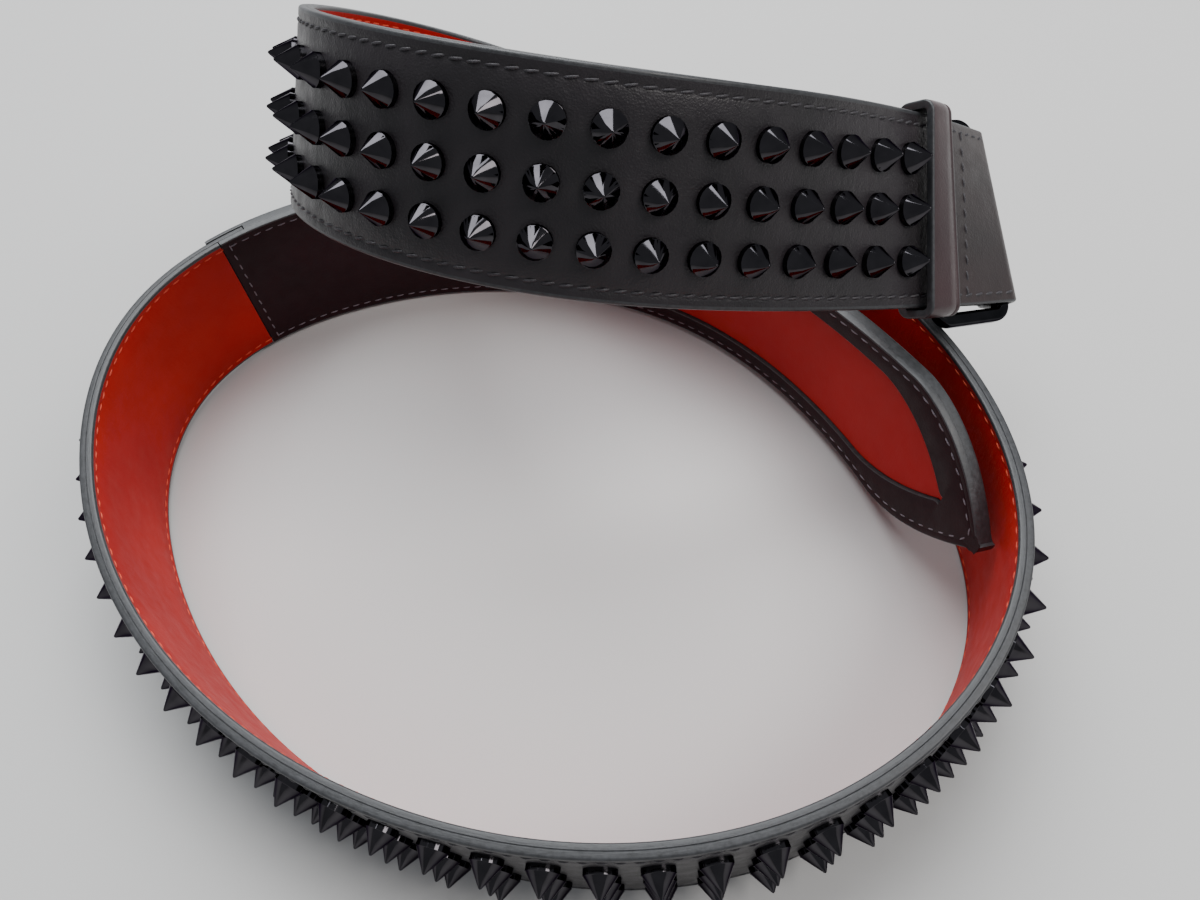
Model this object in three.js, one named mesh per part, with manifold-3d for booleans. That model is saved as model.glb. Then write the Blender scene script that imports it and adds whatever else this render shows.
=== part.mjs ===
// Studded leather belt, coiled and standing on its narrow edge. Units: millimetres, +Z up.
//
// The belt is one long strap. Everything on it is first drawn on the flat strap, where
// u runs along the belt from the buckle's bar to the tip, v runs across it with + at the
// upper edge, and h is the height over its outer face. The flat drawing is then bent
// along the belt's path.
import * as THREE from 'three';
import { mergeVertices } from 'three/addons/utils/BufferGeometryUtils.js';
import Module from 'manifold-3d';

// Strap
const BELT_LENGTH = 1040; // from the buckle's bar to the point of the tip
const STRAP_WIDTH = 40;
const FACE_THICKNESS = 1.5;
const LINING_THICKNESS = 1.2;
const GAP = 0.3; // between two pieces that touch

// Studs
const STUD_PITCH = 10.3; // along the belt and across it
const STUD_ROWS = 3;
const STUD_RADIUS = 3.2;
const STUD_COLLAR = 1.3; // height of the straight foot
const STUD_HEIGHT = 5.6; // foot and cone
const STUD_SIDES = 10;
const FIRST_COLUMN = 34; // from the bar to the first column of studs
const LAST_MARGIN = 10; // bare strap between the last column and the billet
const UPPER_SHARE = 0.5; // the strap is laid in lengths that meet in the hidden back
const RIGHT_SHARE = 0.75; // and at the front, at these shares of the columns

// Billet: the bare end of the belt, lapped over the studded strap's end
const BILLET_START = 802;
const LAP_LENGTH = 10;
const BILLET_RISE = 1.5; // the billet stands this much over the studded face
const BILLET_LINING_THICKNESS = 1.8;
const TIP_LENGTH = 34; // the pointed stretch
const TIP_SHARPNESS = 1.7;
const TIP_BLUNT = 0.8; // half width left at the very point
const INLAY_START = 905;
const INLAY_BORDER = 6; // dark leather left around the inlay
const INLAY_POINT_BORDER = 14; // the same at the tip
const INLAY_THICKNESS = 0.8;

// Keeper: the fixed leather loop next to the buckle
const KEEPER_START = 22;
const KEEPER_WIDTH = 8.5;
const KEEPER_WALL = 1.7;
const KEEPER_ROOM = 1.9; // free height between the studded face and the keeper
const KEEPER_CORNER = 2.6;
const KEEPER_CLEARANCE = 0.5; // round the strap's edges and behind it

// Buckle: a rectangular frame folded back behind the strap, its prong, and the leather tab
const BAR_HALF = 1.6;
const FRAME_SIDE_CLEARANCE = 0.5; // beside each of the strap's edges
const FRAME_LENGTH = 20; // from the bar's middle to the far side
const FRAME_RAIL = 3.2;
const FRAME_WIDTH = STRAP_WIDTH + 2 * (FRAME_RAIL + FRAME_SIDE_CLEARANCE); // across the belt
const FRAME_CORNER = 4.2;
const FRAME_BEVEL = 0.9;
const FRAME_TILT = 14; // degrees away from the strap
const PRONG_WIDTH = 4;
const PRONG_THICKNESS = 2;
const PRONG_CLEARANCE = 0.45; // round the bar
const TAB_END = 26; // where the tab meets the studded face, under the keeper
const TAB_RETURN = 16; // where the folded back layer ends
const TAB_SEWN = 10; // where the two layers come together
const TAB_CLEARANCE = 0.55; // round the bar
const SLOT_WIDTH = 7; // the prong's slot in the fold

// The belt's path. Each row tells how far the belt has come, as a share of its length,
// and how many degrees it bends and twists there over a twentieth of its length.
const SECTION = 1 / 20;
const PATH = [
  { at: 0.0, place: 'buckle', bend: -1, twist: -24 },
  { at: 0.05, place: 'upper coil, right', bend: 7, twist: -19 },
  { at: 0.1, place: 'upper coil, front', bend: 47, twist: -4.5 },
  { at: 0.15, place: 'upper coil, front', bend: 49, twist: 3 },
  { at: 0.2, place: 'left turn', bend: 49, twist: 5.5 },
  { at: 0.25, place: 'back, coming down', bend: 72, twist: 9.5 },
  { at: 0.3, place: 'back, coming down', bend: 28, twist: 12 },
  { at: 0.35, place: 'right wall', bend: 3, twist: 12.5 },
  { at: 0.4, place: 'right wall', bend: 32, twist: 10 },
  { at: 0.45, place: 'lower coil, right corner', bend: 50, twist: 2 },
  { at: 0.5, place: 'lower coil, front', bend: 37, twist: -1 },
  { at: 0.55, place: 'lower coil, front', bend: 27, twist: 0 },
  { at: 0.6, place: 'lower coil, front left', bend: 21, twist: -1.5 },
  { at: 0.65, place: 'left wall', bend: 24, twist: -0.5 },
  { at: 0.7, place: 'left wall', bend: 28, twist: 4.5 },
  { at: 0.75, place: 'billet corner', bend: 64, twist: -2.5 },
  { at: 0.8, place: 'billet, back', bend: 28, twist: -3.5 },
  { at: 0.85, place: 'billet, back', bend: 25, twist: 2 },
  { at: 0.9, place: 'billet, inner side', bend: 28, twist: -1 },
  { at: 0.95, place: 'tip', bend: 18, twist: -9.5 },
  { at: 1.0, place: 'tip', bend: 6, twist: -16.5 },
];
const FRONT = 0.558; // share of the length where the belt stands upright and faces the front
const PATH_STEPS = 208;

const THICKNESS = FACE_THICKNESS + GAP + LINING_THICKNESS;
const HALF = STRAP_WIDTH / 2;
const LAP_END = BILLET_START + LAP_LENGTH;
const LINING_END = BILLET_START + 2.5;
const BAR_DEPTH = FACE_THICKNESS + TAB_CLEARANCE + BAR_HALF;
const KEEPER_END = KEEPER_START + KEEPER_WIDTH;
const LINE_ROOM = 0.5; // least distance between two cross lines

const COLOURS = {
  face: { color: 0x1b1417, roughness: 0.45, metalness: 0 },
  lining: { color: 0xa81a17, roughness: 0.5, metalness: 0 },
  billet: { color: 0x160f12, roughness: 0.45, metalness: 0 },
  billetLining: { color: 0x2a0a11, roughness: 0.5, metalness: 0 },
  inlay: { color: 0xa51b1a, roughness: 0.45, metalness: 0 },
  metal: { color: 0x0c0c0e, roughness: 0.15, metalness: 0.8 },
};

// Path

/** Bend and twist, in radians for each millimetre, at a place along the belt. */
function turning(u) {
  const share = THREE.MathUtils.clamp(u / BELT_LENGTH, 0, 1);
  const row = Math.min(Math.floor(share / SECTION + 1e-9), PATH.length - 2);
  const part = (share - PATH[row].at) / (PATH[row + 1].at - PATH[row].at);
  const scale = THREE.MathUtils.degToRad(1) / (SECTION * BELT_LENGTH);
  return {
    bend: THREE.MathUtils.lerp(PATH[row].bend, PATH[row + 1].bend, part) * scale,
    twist: THREE.MathUtils.lerp(PATH[row].twist, PATH[row + 1].twist, part) * scale,
  };
}

/** The next frame of the path: middle point, direction along and direction across. */
function walk(frame, u, step) {
  const rate = turning(u + step / 2);
  const turn = frame.across.clone().multiplyScalar(-rate.bend * step);
  turn.addScaledVector(frame.along, rate.twist * step);
  const angle = turn.length();
  const axis = angle > 0 ? turn.divideScalar(angle) : frame.across.clone();
  const halfway = frame.along.clone().applyAxisAngle(axis, angle / 2);
  return {
    middle: frame.middle.clone().addScaledVector(halfway, step),
    along: frame.along.clone().applyAxisAngle(axis, angle),
    across: frame.across.clone().applyAxisAngle(axis, angle),
  };
}

/** All frames of the path, walked from the upright front towards both ends. */
function walkPath() {
  const step = BELT_LENGTH / PATH_STEPS;
  const start = Math.round(FRONT * PATH_STEPS);
  const frames = [];
  frames[start] = {
    middle: new THREE.Vector3(0, 0, HALF),
    along: new THREE.Vector3(-1, 0, 0),
    across: new THREE.Vector3(0, 0, 1),
  };
  for (let i = start; i < PATH_STEPS; i += 1) {
    frames[i + 1] = walk(frames[i], i * step, step);
  }
  for (let i = start; i > 0; i -= 1) {
    frames[i - 1] = walk(frames[i], i * step, -step);
  }
  return frames;
}

const FRAMES = walkPath();

/** The path's frame at any place, straight on past both ends. */
function frameAt(u) {
  const step = BELT_LENGTH / PATH_STEPS;
  const index = THREE.MathUtils.clamp(Math.floor(u / step), 0, PATH_STEPS - 1);
  const part = THREE.MathUtils.clamp(u / step - index, 0, 1);
  const first = FRAMES[index];
  const second = FRAMES[index + 1];
  const along = first.along.clone().lerp(second.along, part).normalize();
  const across = first.across.clone().lerp(second.across, part).normalize();
  const middle = first.middle.clone().lerp(second.middle, part);
  middle.addScaledVector(along, u - (index + part) * step);
  return { middle, along, across, out: across.clone().cross(along) };
}

/** A point of the flat strap, on the bent belt. */
function onBelt(u, v, h) {
  const frame = frameAt(u);
  return frame.middle.addScaledVector(frame.across, v).addScaledVector(frame.out, h);
}

/** Bends a flat piece along the belt. */
function bend(geometry) {
  const source = geometry.getAttribute('position');
  const position = new Float32Array(source.count * 3);
  for (let i = 0; i < source.count; i += 1) {
    onBelt(source.getX(i), source.getY(i), source.getZ(i)).toArray(position, i * 3);
  }
  const index = Array.from(geometry.getIndex().array);
  for (let i = 0; i < index.length; i += 3) {
    [index[i + 1], index[i + 2]] = [index[i + 2], index[i + 1]];
  }
  const bent = new THREE.BufferGeometry();
  bent.setAttribute('position', new THREE.BufferAttribute(position, 3));
  bent.setIndex(index);
  return bent;
}

/** Keeps only merged positions, so that a piece is one closed skin. */
function skin(geometry) {
  const bare = new THREE.BufferGeometry();
  bare.setAttribute('position', geometry.getAttribute('position').clone());
  if (geometry.getIndex()) {
    bare.setIndex(geometry.getIndex().clone());
  }
  return mergeVertices(bare, 1e-4);
}

// Flat drawing

/** Where every layer has its cross lines: at the buckle's steps, then midway between columns. */
function commonLines() {
  const lines = [4, 7, TAB_SEWN, 13, TAB_RETURN, 19, KEEPER_START, TAB_END, KEEPER_END];
  for (let u = FIRST_COLUMN - STUD_PITCH / 2; u < BELT_LENGTH; u += STUD_PITCH) {
    lines.push(u);
  }
  return lines.sort((a, b) => a - b);
}

/** The common cross lines of a layer between two places. */
function crossLines(from, to) {
  const lines = [from];
  commonLines().forEach((u) => {
    if (u > lines[lines.length - 1] + LINE_ROOM && u < to - LINE_ROOM) {
      lines.push(u);
    }
  });
  lines.push(to);
  return lines;
}

/** Half width of the belt, which narrows to the tip's point. */
function halfWidth(u) {
  const share = THREE.MathUtils.clamp((u - (BELT_LENGTH - TIP_LENGTH)) / TIP_LENGTH, 0, 1);
  return Math.max(HALF * (1 - share ** TIP_SHARPNESS), TIP_BLUNT);
}

/** Cross lines of a layer that ends in a point. */
function pointedLines(from, to, pointLength, pointSteps) {
  const lines = crossLines(from, to - pointLength);
  for (let i = 1; i <= pointSteps; i += 1) {
    lines.push(to - pointLength * (1 - i / pointSteps));
  }
  return lines;
}

/** A layer of the strap between two heights, closed all round. */
class Layer {
  constructor(lines, half, top, bottom) {
    this.lines = lines;
    this.points = [];
    this.triangles = [];
    this.rings = lines.map((u) => {
      const outer = typeof top === 'function' ? top(u) : top;
      const inner = typeof bottom === 'function' ? bottom(u) : bottom;
      return [
        this.add(u, -half(u), inner),
        this.add(u, half(u), inner),
        this.add(u, half(u), outer),
        this.add(u, -half(u), outer),
      ];
    });
  }

  add(u, v, h) {
    this.points.push(u, v, h);
    return this.points.length / 3 - 1;
  }

  quad(a, b, c, d) {
    this.triangles.push(a, b, c, a, c, d);
  }

  /** Closes the skin. A cell that holds studs brings its own outer face. */
  close(outerFace) {
    const last = this.rings.length - 1;
    for (let i = 0; i < last; i += 1) {
      const near = this.rings[i];
      const far = this.rings[i + 1];
      this.quad(near[0], near[1], far[1], far[0]);
      this.quad(near[1], near[2], far[2], far[1]);
      this.quad(near[3], near[0], far[0], far[3]);
      if (!outerFace || !outerFace(this, i)) {
        this.quad(near[3], far[3], far[2], near[2]);
      }
    }
    const [a, b, c, d] = this.rings[0];
    this.quad(a, d, c, b);
    this.quad(...this.rings[last]);
    return this;
  }

  geometry() {
    const flat = new THREE.BufferGeometry();
    flat.setAttribute('position', new THREE.Float32BufferAttribute(this.points, 3));
    flat.setIndex(this.triangles);
    return flat;
  }
}

/** Columns of studs, as places along the belt. */
function studColumns() {
  const last = BILLET_START - LAST_MARGIN;
  const columns = [];
  for (let u = FIRST_COLUMN; u <= last; u += STUD_PITCH) {
    columns.push(u);
  }
  return columns;
}

/** The studs of one column, grown out of the outer face of the cell around them. */
function growStuds(layer, cell, column) {
  const near = layer.rings[cell];
  const far = layer.rings[cell + 1];
  const corners = [near[3], far[3], far[2], near[2]];
  const ids = [...corners];
  const contour = corners.map((id) => new THREE.Vector2(layer.points[id * 3], layer.points[id * 3 + 1]));
  const holes = [];
  for (let row = 0; row < STUD_ROWS; row += 1) {
    const v = (row - (STUD_ROWS - 1) / 2) * STUD_PITCH;
    const hole = [];
    const foot = [];
    const shoulder = [];
    for (let i = 0; i < STUD_SIDES; i += 1) {
      const angle = (-i / STUD_SIDES) * 2 * Math.PI;
      const x = column + STUD_RADIUS * Math.cos(angle);
      const y = v + STUD_RADIUS * Math.sin(angle);
      hole.push(new THREE.Vector2(x, y));
      foot.push(layer.add(x, y, 0));
      shoulder.push(layer.add(x, y, STUD_COLLAR));
    }
    const point = layer.add(column, v, STUD_HEIGHT);
    for (let i = 0; i < STUD_SIDES; i += 1) {
      const next = (i + 1) % STUD_SIDES;
      layer.quad(foot[next], foot[i], shoulder[i], shoulder[next]);
      layer.triangles.push(shoulder[next], shoulder[i], point);
    }
    ids.push(...foot);
    holes.push(hole);
  }
  THREE.ShapeUtils.triangulateShape(contour, holes).forEach(([a, b, c]) => {
    layer.triangles.push(ids[a], ids[b], ids[c]);
  });
}

/** Studded face leather between two places, with its studs in one body. */
function studdedFace(from, to) {
  const columns = studColumns();
  const layer = new Layer(crossLines(from, to), halfWidth, 0, -FACE_THICKNESS);
  layer.close((open, cell) => {
    const column = columns.find((u) => u > open.lines[cell] && u < open.lines[cell + 1]);
    if (column === undefined) {
      return false;
    }
    growStuds(open, cell, column);
    return true;
  });
  return bend(layer.geometry());
}

/** Plain layer of the strap. */
function plainLayer(lines, half, top, bottom) {
  return bend(new Layer(lines, half, top, bottom).close().geometry());
}

// Booleans

const wasm = await Module();
wasm.setup();

function toSolid(geometry) {
  const merged = skin(geometry);
  return new wasm.Manifold(
    new wasm.Mesh({
      numProp: 3,
      vertProperties: new Float32Array(merged.getAttribute('position').array),
      triVerts: new Uint32Array(merged.getIndex().array),
    }),
  );
}

function toGeometry(solid) {
  const mesh = solid.getMesh();
  const geometry = new THREE.BufferGeometry();
  geometry.setAttribute('position', new THREE.BufferAttribute(Float32Array.from(mesh.vertProperties), 3));
  geometry.setIndex(Array.from(mesh.triVerts));
  return geometry;
}

function cut(body, tool) {
  return toGeometry(toSolid(body).subtract(toSolid(tool)));
}

// Pieces

/** Cross line between two columns of studs, where two lengths of the strap meet. */
function meetingLine(share) {
  const columns = studColumns();
  return columns[Math.floor(columns.length * share)] - STUD_PITCH / 2;
}

function upperFace() {
  return studdedFace(TAB_END + GAP, meetingLine(UPPER_SHARE) - GAP / 2);
}

function rightFace() {
  return studdedFace(meetingLine(UPPER_SHARE) + GAP / 2, meetingLine(RIGHT_SHARE) - GAP / 2);
}

function leftFace() {
  return studdedFace(meetingLine(RIGHT_SHARE) + GAP / 2, LAP_END);
}

function lining(from, to) {
  return plainLayer(crossLines(from, to), halfWidth, -FACE_THICKNESS - GAP, -THICKNESS);
}

function upperLining() {
  return lining(TAB_RETURN + GAP, meetingLine(UPPER_SHARE) - GAP / 2);
}

function lowerLining() {
  return lining(meetingLine(UPPER_SHARE) + GAP / 2, LINING_END);
}

/** Underside of the billet's outer leather: over the studded face in the lap, deep after it. */
function billetUnderside(u) {
  return u < LAP_END + GAP ? GAP : -THICKNESS + BILLET_LINING_THICKNESS + GAP;
}

function billetFace() {
  const lines = pointedLines(LAP_END + 2 * GAP, BELT_LENGTH, TIP_LENGTH, 8);
  lines.unshift(BILLET_START, LAP_END + GAP / 2, LAP_END + GAP);
  return plainLayer(lines, halfWidth, BILLET_RISE, billetUnderside);
}

/** Half width of the inlay and of the window around it. */
function inlayHalf(grow) {
  const end = BELT_LENGTH - INLAY_POINT_BORDER;
  const point = TIP_LENGTH - INLAY_BORDER;
  return (u) => {
    const share = THREE.MathUtils.clamp((u - (end - point)) / point, 0, 1);
    return Math.max((HALF - INLAY_BORDER) * (1 - share ** TIP_SHARPNESS), TIP_BLUNT) + grow;
  };
}

function inlayLines(grow) {
  const end = BELT_LENGTH - INLAY_POINT_BORDER + grow;
  return pointedLines(INLAY_START - grow, end, TIP_LENGTH - INLAY_BORDER, 7);
}

const BILLET_LINING_TOP = -THICKNESS + BILLET_LINING_THICKNESS;

/** Top of the dark lining: thin where it meets the studded strap's end, then full. */
function billetLiningTop(u) {
  return u < LAP_END + GAP ? -FACE_THICKNESS - GAP : BILLET_LINING_TOP;
}

function billetLining() {
  const lines = pointedLines(LAP_END + 2 * GAP, BELT_LENGTH, TIP_LENGTH, 8);
  lines.unshift(LINING_END + GAP, LAP_END + GAP / 2, LAP_END + GAP);
  const body = plainLayer(lines, halfWidth, billetLiningTop, -THICKNESS);
  const window = plainLayer(inlayLines(GAP), inlayHalf(GAP), BILLET_LINING_TOP + 1, -THICKNESS - 1);
  return cut(body, window);
}

function tipInlay() {
  const top = BILLET_LINING_TOP;
  return plainLayer(inlayLines(0), inlayHalf(0), top, top - INLAY_THICKNESS);
}

/** Rounded rectangle in the plane of a THREE.Shape. */
function roundedRectangle(target, x0, y0, x1, y1, radius) {
  target.moveTo(x0 + radius, y0);
  target.lineTo(x1 - radius, y0);
  target.absarc(x1 - radius, y0 + radius, radius, -Math.PI / 2, 0, false);
  target.lineTo(x1, y1 - radius);
  target.absarc(x1 - radius, y1 - radius, radius, 0, Math.PI / 2, false);
  target.lineTo(x0 + radius, y1);
  target.absarc(x0 + radius, y1 - radius, radius, Math.PI / 2, Math.PI, false);
  target.lineTo(x0, y0 + radius);
  target.absarc(x0 + radius, y0 + radius, radius, Math.PI, Math.PI * 1.5, false);
  return target;
}

/** Moves a drawn shape's axes to the strap's: along, across and height. */
function reorder(geometry, place) {
  const source = geometry.getAttribute('position');
  const moved = new Float32Array(source.count * 3);
  for (let i = 0; i < source.count; i += 1) {
    moved.set(place(source.getX(i), source.getY(i), source.getZ(i)), i * 3);
  }
  const result = new THREE.BufferGeometry();
  result.setAttribute('position', new THREE.BufferAttribute(moved, 3));
  if (geometry.getIndex()) {
    result.setIndex(geometry.getIndex().clone());
  }
  return skin(result);
}

function keeper() {
  const inner = HALF + KEEPER_CLEARANCE;
  const low = -THICKNESS - KEEPER_CLEARANCE;
  const outline = roundedRectangle(
    new THREE.Shape(),
    -inner - KEEPER_WALL,
    low - KEEPER_WALL,
    inner + KEEPER_WALL,
    KEEPER_ROOM + KEEPER_WALL,
    KEEPER_CORNER,
  );
  const room = roundedRectangle(new THREE.Path(), -inner, low, inner, KEEPER_ROOM, KEEPER_CORNER - KEEPER_WALL);
  outline.holes.push(room);
  const lines = crossLines(KEEPER_START, KEEPER_END);
  const cells = lines.length - 1;
  const flat = new THREE.ExtrudeGeometry(outline, {
    depth: cells,
    steps: cells,
    bevelEnabled: false,
    curveSegments: 3,
  });
  return bend(reorder(flat, (x, y, z) => [lines[Math.round(z)], x, y]));
}

/** Points of a straight run, with the belt's cross lines in between. */
function run(from, to, h) {
  const [low, high] = from < to ? [from, to] : [to, from];
  const places = crossLines(low, high);
  return (from < to ? places : places.reverse()).map((u) => [u, h]);
}

/** Points round the buckle's bar, from over it to under it. */
function roundBar(radius, turn) {
  const points = [];
  for (let i = 1; i < 9; i += 1) {
    const angle = Math.PI / 2 + (i / 9) * turn;
    points.push([radius * Math.cos(angle), -BAR_DEPTH + radius * Math.sin(angle)]);
  }
  return points;
}

/** The leather tab: outer layer, fold round the bar, and the layer sewn behind it. */
function buckleTab() {
  const inside = BAR_HALF + TAB_CLEARANCE;
  const outside = inside + FACE_THICKNESS;
  const turn = THREE.MathUtils.degToRad(205);
  const sewn = -FACE_THICKNESS - GAP;
  const profile = [
    ...run(TAB_END, 0, 0),
    ...roundBar(outside, turn),
    ...run(TAB_SEWN, TAB_RETURN, sewn - FACE_THICKNESS),
    ...run(TAB_RETURN, TAB_SEWN, sewn),
    ...roundBar(inside, turn).reverse(),
    ...run(0, TAB_END, -FACE_THICKNESS),
  ];
  const shape = new THREE.Shape(profile.map(([x, y]) => new THREE.Vector2(x, y)));
  const flat = new THREE.ExtrudeGeometry(shape, { depth: STRAP_WIDTH, steps: 1, bevelEnabled: false });
  const folded = bend(reorder(flat, (x, y, z) => [x, HALF - z, y]));
  return cut(folded, prongSlot());
}

/** Cutter for the prong's slot, on the hidden side of the fold. */
function prongSlot() {
  const deep = BAR_DEPTH + BAR_HALF + TAB_CLEARANCE + FACE_THICKNESS + 2;
  const lines = [-BAR_DEPTH - 3, TAB_SEWN - 2];
  return plainLayer(lines, () => SLOT_WIDTH / 2, -BAR_DEPTH + 1, -deep);
}

/** Places a stiff piece, drawn round the buckle's bar, at the belt's start. */
function atBar(geometry, tilt) {
  const frame = frameAt(0);
  const basis = new THREE.Matrix4().makeBasis(frame.along, frame.across.clone().negate(), frame.out);
  basis.setPosition(onBelt(0, 0, -BAR_DEPTH));
  const lean = new THREE.Matrix4().makeRotationY(THREE.MathUtils.degToRad(tilt));
  return skin(geometry).applyMatrix4(basis.multiply(lean));
}

function buckleFrame() {
  const edge = FRAME_BEVEL;
  const half = FRAME_WIDTH / 2;
  const outline = roundedRectangle(
    new THREE.Shape(),
    -BAR_HALF + edge,
    -half + edge,
    FRAME_LENGTH - edge,
    half - edge,
    FRAME_CORNER - edge,
  );
  const window = roundedRectangle(
    new THREE.Path(),
    BAR_HALF - edge,
    -half + FRAME_RAIL - edge,
    FRAME_LENGTH - FRAME_RAIL + edge,
    half - FRAME_RAIL + edge,
    1.2,
  );
  outline.holes.push(window);
  const depth = 2 * (BAR_HALF - FRAME_BEVEL);
  const flat = new THREE.ExtrudeGeometry(outline, {
    depth,
    steps: 1,
    bevelEnabled: true,
    bevelThickness: FRAME_BEVEL,
    bevelSize: FRAME_BEVEL,
    bevelSegments: 1,
    curveSegments: 3,
  });
  flat.translate(0, 0, -depth / 2);
  return atBar(flat, FRAME_TILT);
}

/** The prong: a hook under the bar and a flat finger along the frame's hidden side. */
function prong() {
  const grip = BAR_HALF + PRONG_CLEARANCE;
  const reach = FRAME_LENGTH - FRAME_RAIL / 2;
  const hook = Math.PI * 1.1;
  const shape = new THREE.Shape();
  shape.absarc(0, 0, grip + PRONG_THICKNESS, hook, Math.PI * 1.5, false);
  shape.lineTo(reach, -grip - PRONG_THICKNESS);
  shape.lineTo(reach + PRONG_THICKNESS, -grip - PRONG_THICKNESS / 2);
  shape.lineTo(reach, -grip);
  shape.lineTo(0, -grip);
  shape.absarc(0, 0, grip, Math.PI * 1.5, hook, true);
  const flat = new THREE.ExtrudeGeometry(shape, {
    depth: PRONG_WIDTH,
    steps: 1,
    bevelEnabled: false,
    curveSegments: 4,
  });
  flat.rotateX(Math.PI / 2);
  flat.translate(0, PRONG_WIDTH / 2, 0);
  return atBar(flat, FRAME_TILT);
}

// Assembly

const PIECES = [
  { name: 'studded_face_upper', geometry: upperFace(), finish: 'face' },
  { name: 'studded_face_right', geometry: rightFace(), finish: 'face' },
  { name: 'studded_face_left', geometry: leftFace(), finish: 'face' },
  { name: 'red_lining_upper', geometry: upperLining(), finish: 'lining' },
  { name: 'red_lining_lower', geometry: lowerLining(), finish: 'lining' },
  { name: 'billet_face', geometry: billetFace(), finish: 'billet' },
  { name: 'billet_lining', geometry: billetLining(), finish: 'billetLining' },
  { name: 'tip_inlay', geometry: tipInlay(), finish: 'inlay' },
  { name: 'keeper', geometry: keeper(), finish: 'face' },
  { name: 'buckle_tab', geometry: buckleTab(), finish: 'face' },
  { name: 'buckle_frame', geometry: buckleFrame(), finish: 'metal' },
  { name: 'prong', geometry: prong(), finish: 'metal' },
];

const belt = new THREE.Group();
PIECES.forEach(({ name, geometry, finish }) => {
  geometry.computeVertexNormals();
  const mesh = new THREE.Mesh(geometry, new THREE.MeshStandardMaterial(COLOURS[finish]));
  mesh.name = name;
  belt.add(mesh);
});

// The belt stands on the floor, with the middle of its box over the origin.
belt.updateMatrixWorld(true);
const box = new THREE.Box3().setFromObject(belt);
belt.position.set(-(box.min.x + box.max.x) / 2, -(box.min.y + box.max.y) / 2, -box.min.z);
belt.updateMatrixWorld(true);

export default belt;
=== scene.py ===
"""Looks of a studded leather belt, coiled and standing on its narrow edge.

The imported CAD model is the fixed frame. Every piece of the belt is drawn flat, with u along
the belt from the buckle's bar, v across it and h over its outer face, all in millimetres.
The flat drawing is then bent along the belt's path, as the CAD solids are, and each dressed
piece stands for its CAD node.
"""
import sys
import logging
import math
from collections.abc import Callable, Sequence
from dataclasses import dataclass, field
from enum import Enum

import bmesh
import bpy
import numpy as np
from mathutils import Matrix, Vector


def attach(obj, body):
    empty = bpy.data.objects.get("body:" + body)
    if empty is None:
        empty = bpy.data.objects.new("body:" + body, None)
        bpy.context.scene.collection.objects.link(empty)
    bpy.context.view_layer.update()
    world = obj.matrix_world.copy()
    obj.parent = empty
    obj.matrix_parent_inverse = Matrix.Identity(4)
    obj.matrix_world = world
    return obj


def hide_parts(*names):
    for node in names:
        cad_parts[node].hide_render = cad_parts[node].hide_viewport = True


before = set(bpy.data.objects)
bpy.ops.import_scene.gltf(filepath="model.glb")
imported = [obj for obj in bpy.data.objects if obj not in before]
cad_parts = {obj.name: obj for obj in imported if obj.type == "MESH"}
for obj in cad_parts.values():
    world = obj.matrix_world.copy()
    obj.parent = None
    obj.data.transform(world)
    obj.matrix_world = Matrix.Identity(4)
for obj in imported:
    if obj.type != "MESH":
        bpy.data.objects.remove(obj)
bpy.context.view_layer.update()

log = logging.getLogger("belt")

MM = 0.001  # the flat drawing is in millimetres, the scene in metres
UV_UNIT = 10.0  # millimetres of leather in one unit of its texture coordinates
BODY = "root"
PHOTO_WIDTH = 1200
SENSOR = 36.0

# Driving sizes of the belt, in millimetres
BELT_LENGTH = 1040.0  # from the buckle's bar to the tip
STRAP_HALF = 20.0
STRAP_BOTTOM = -3.0  # the lining's inner side, under the outer face
SEAM_JOINT = 0.02  # how far two skins stay apart where they meet
BAR_HALF = 1.6
TAB_THICKNESS = 1.5
TAB_CLEARANCE = 0.55  # round the bar
BAR_DEPTH = TAB_THICKNESS + TAB_CLEARANCE + BAR_HALF
RING_STEP = 1.5
QUARTER_STEPS = 8  # chords of a quarter round in a loop

Colour = tuple[float, float, float]
FlatPoint = tuple[float, float]
Spot = tuple[float, float, float]
Facing = tuple[float, float, float, float]


# The belt's path


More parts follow.
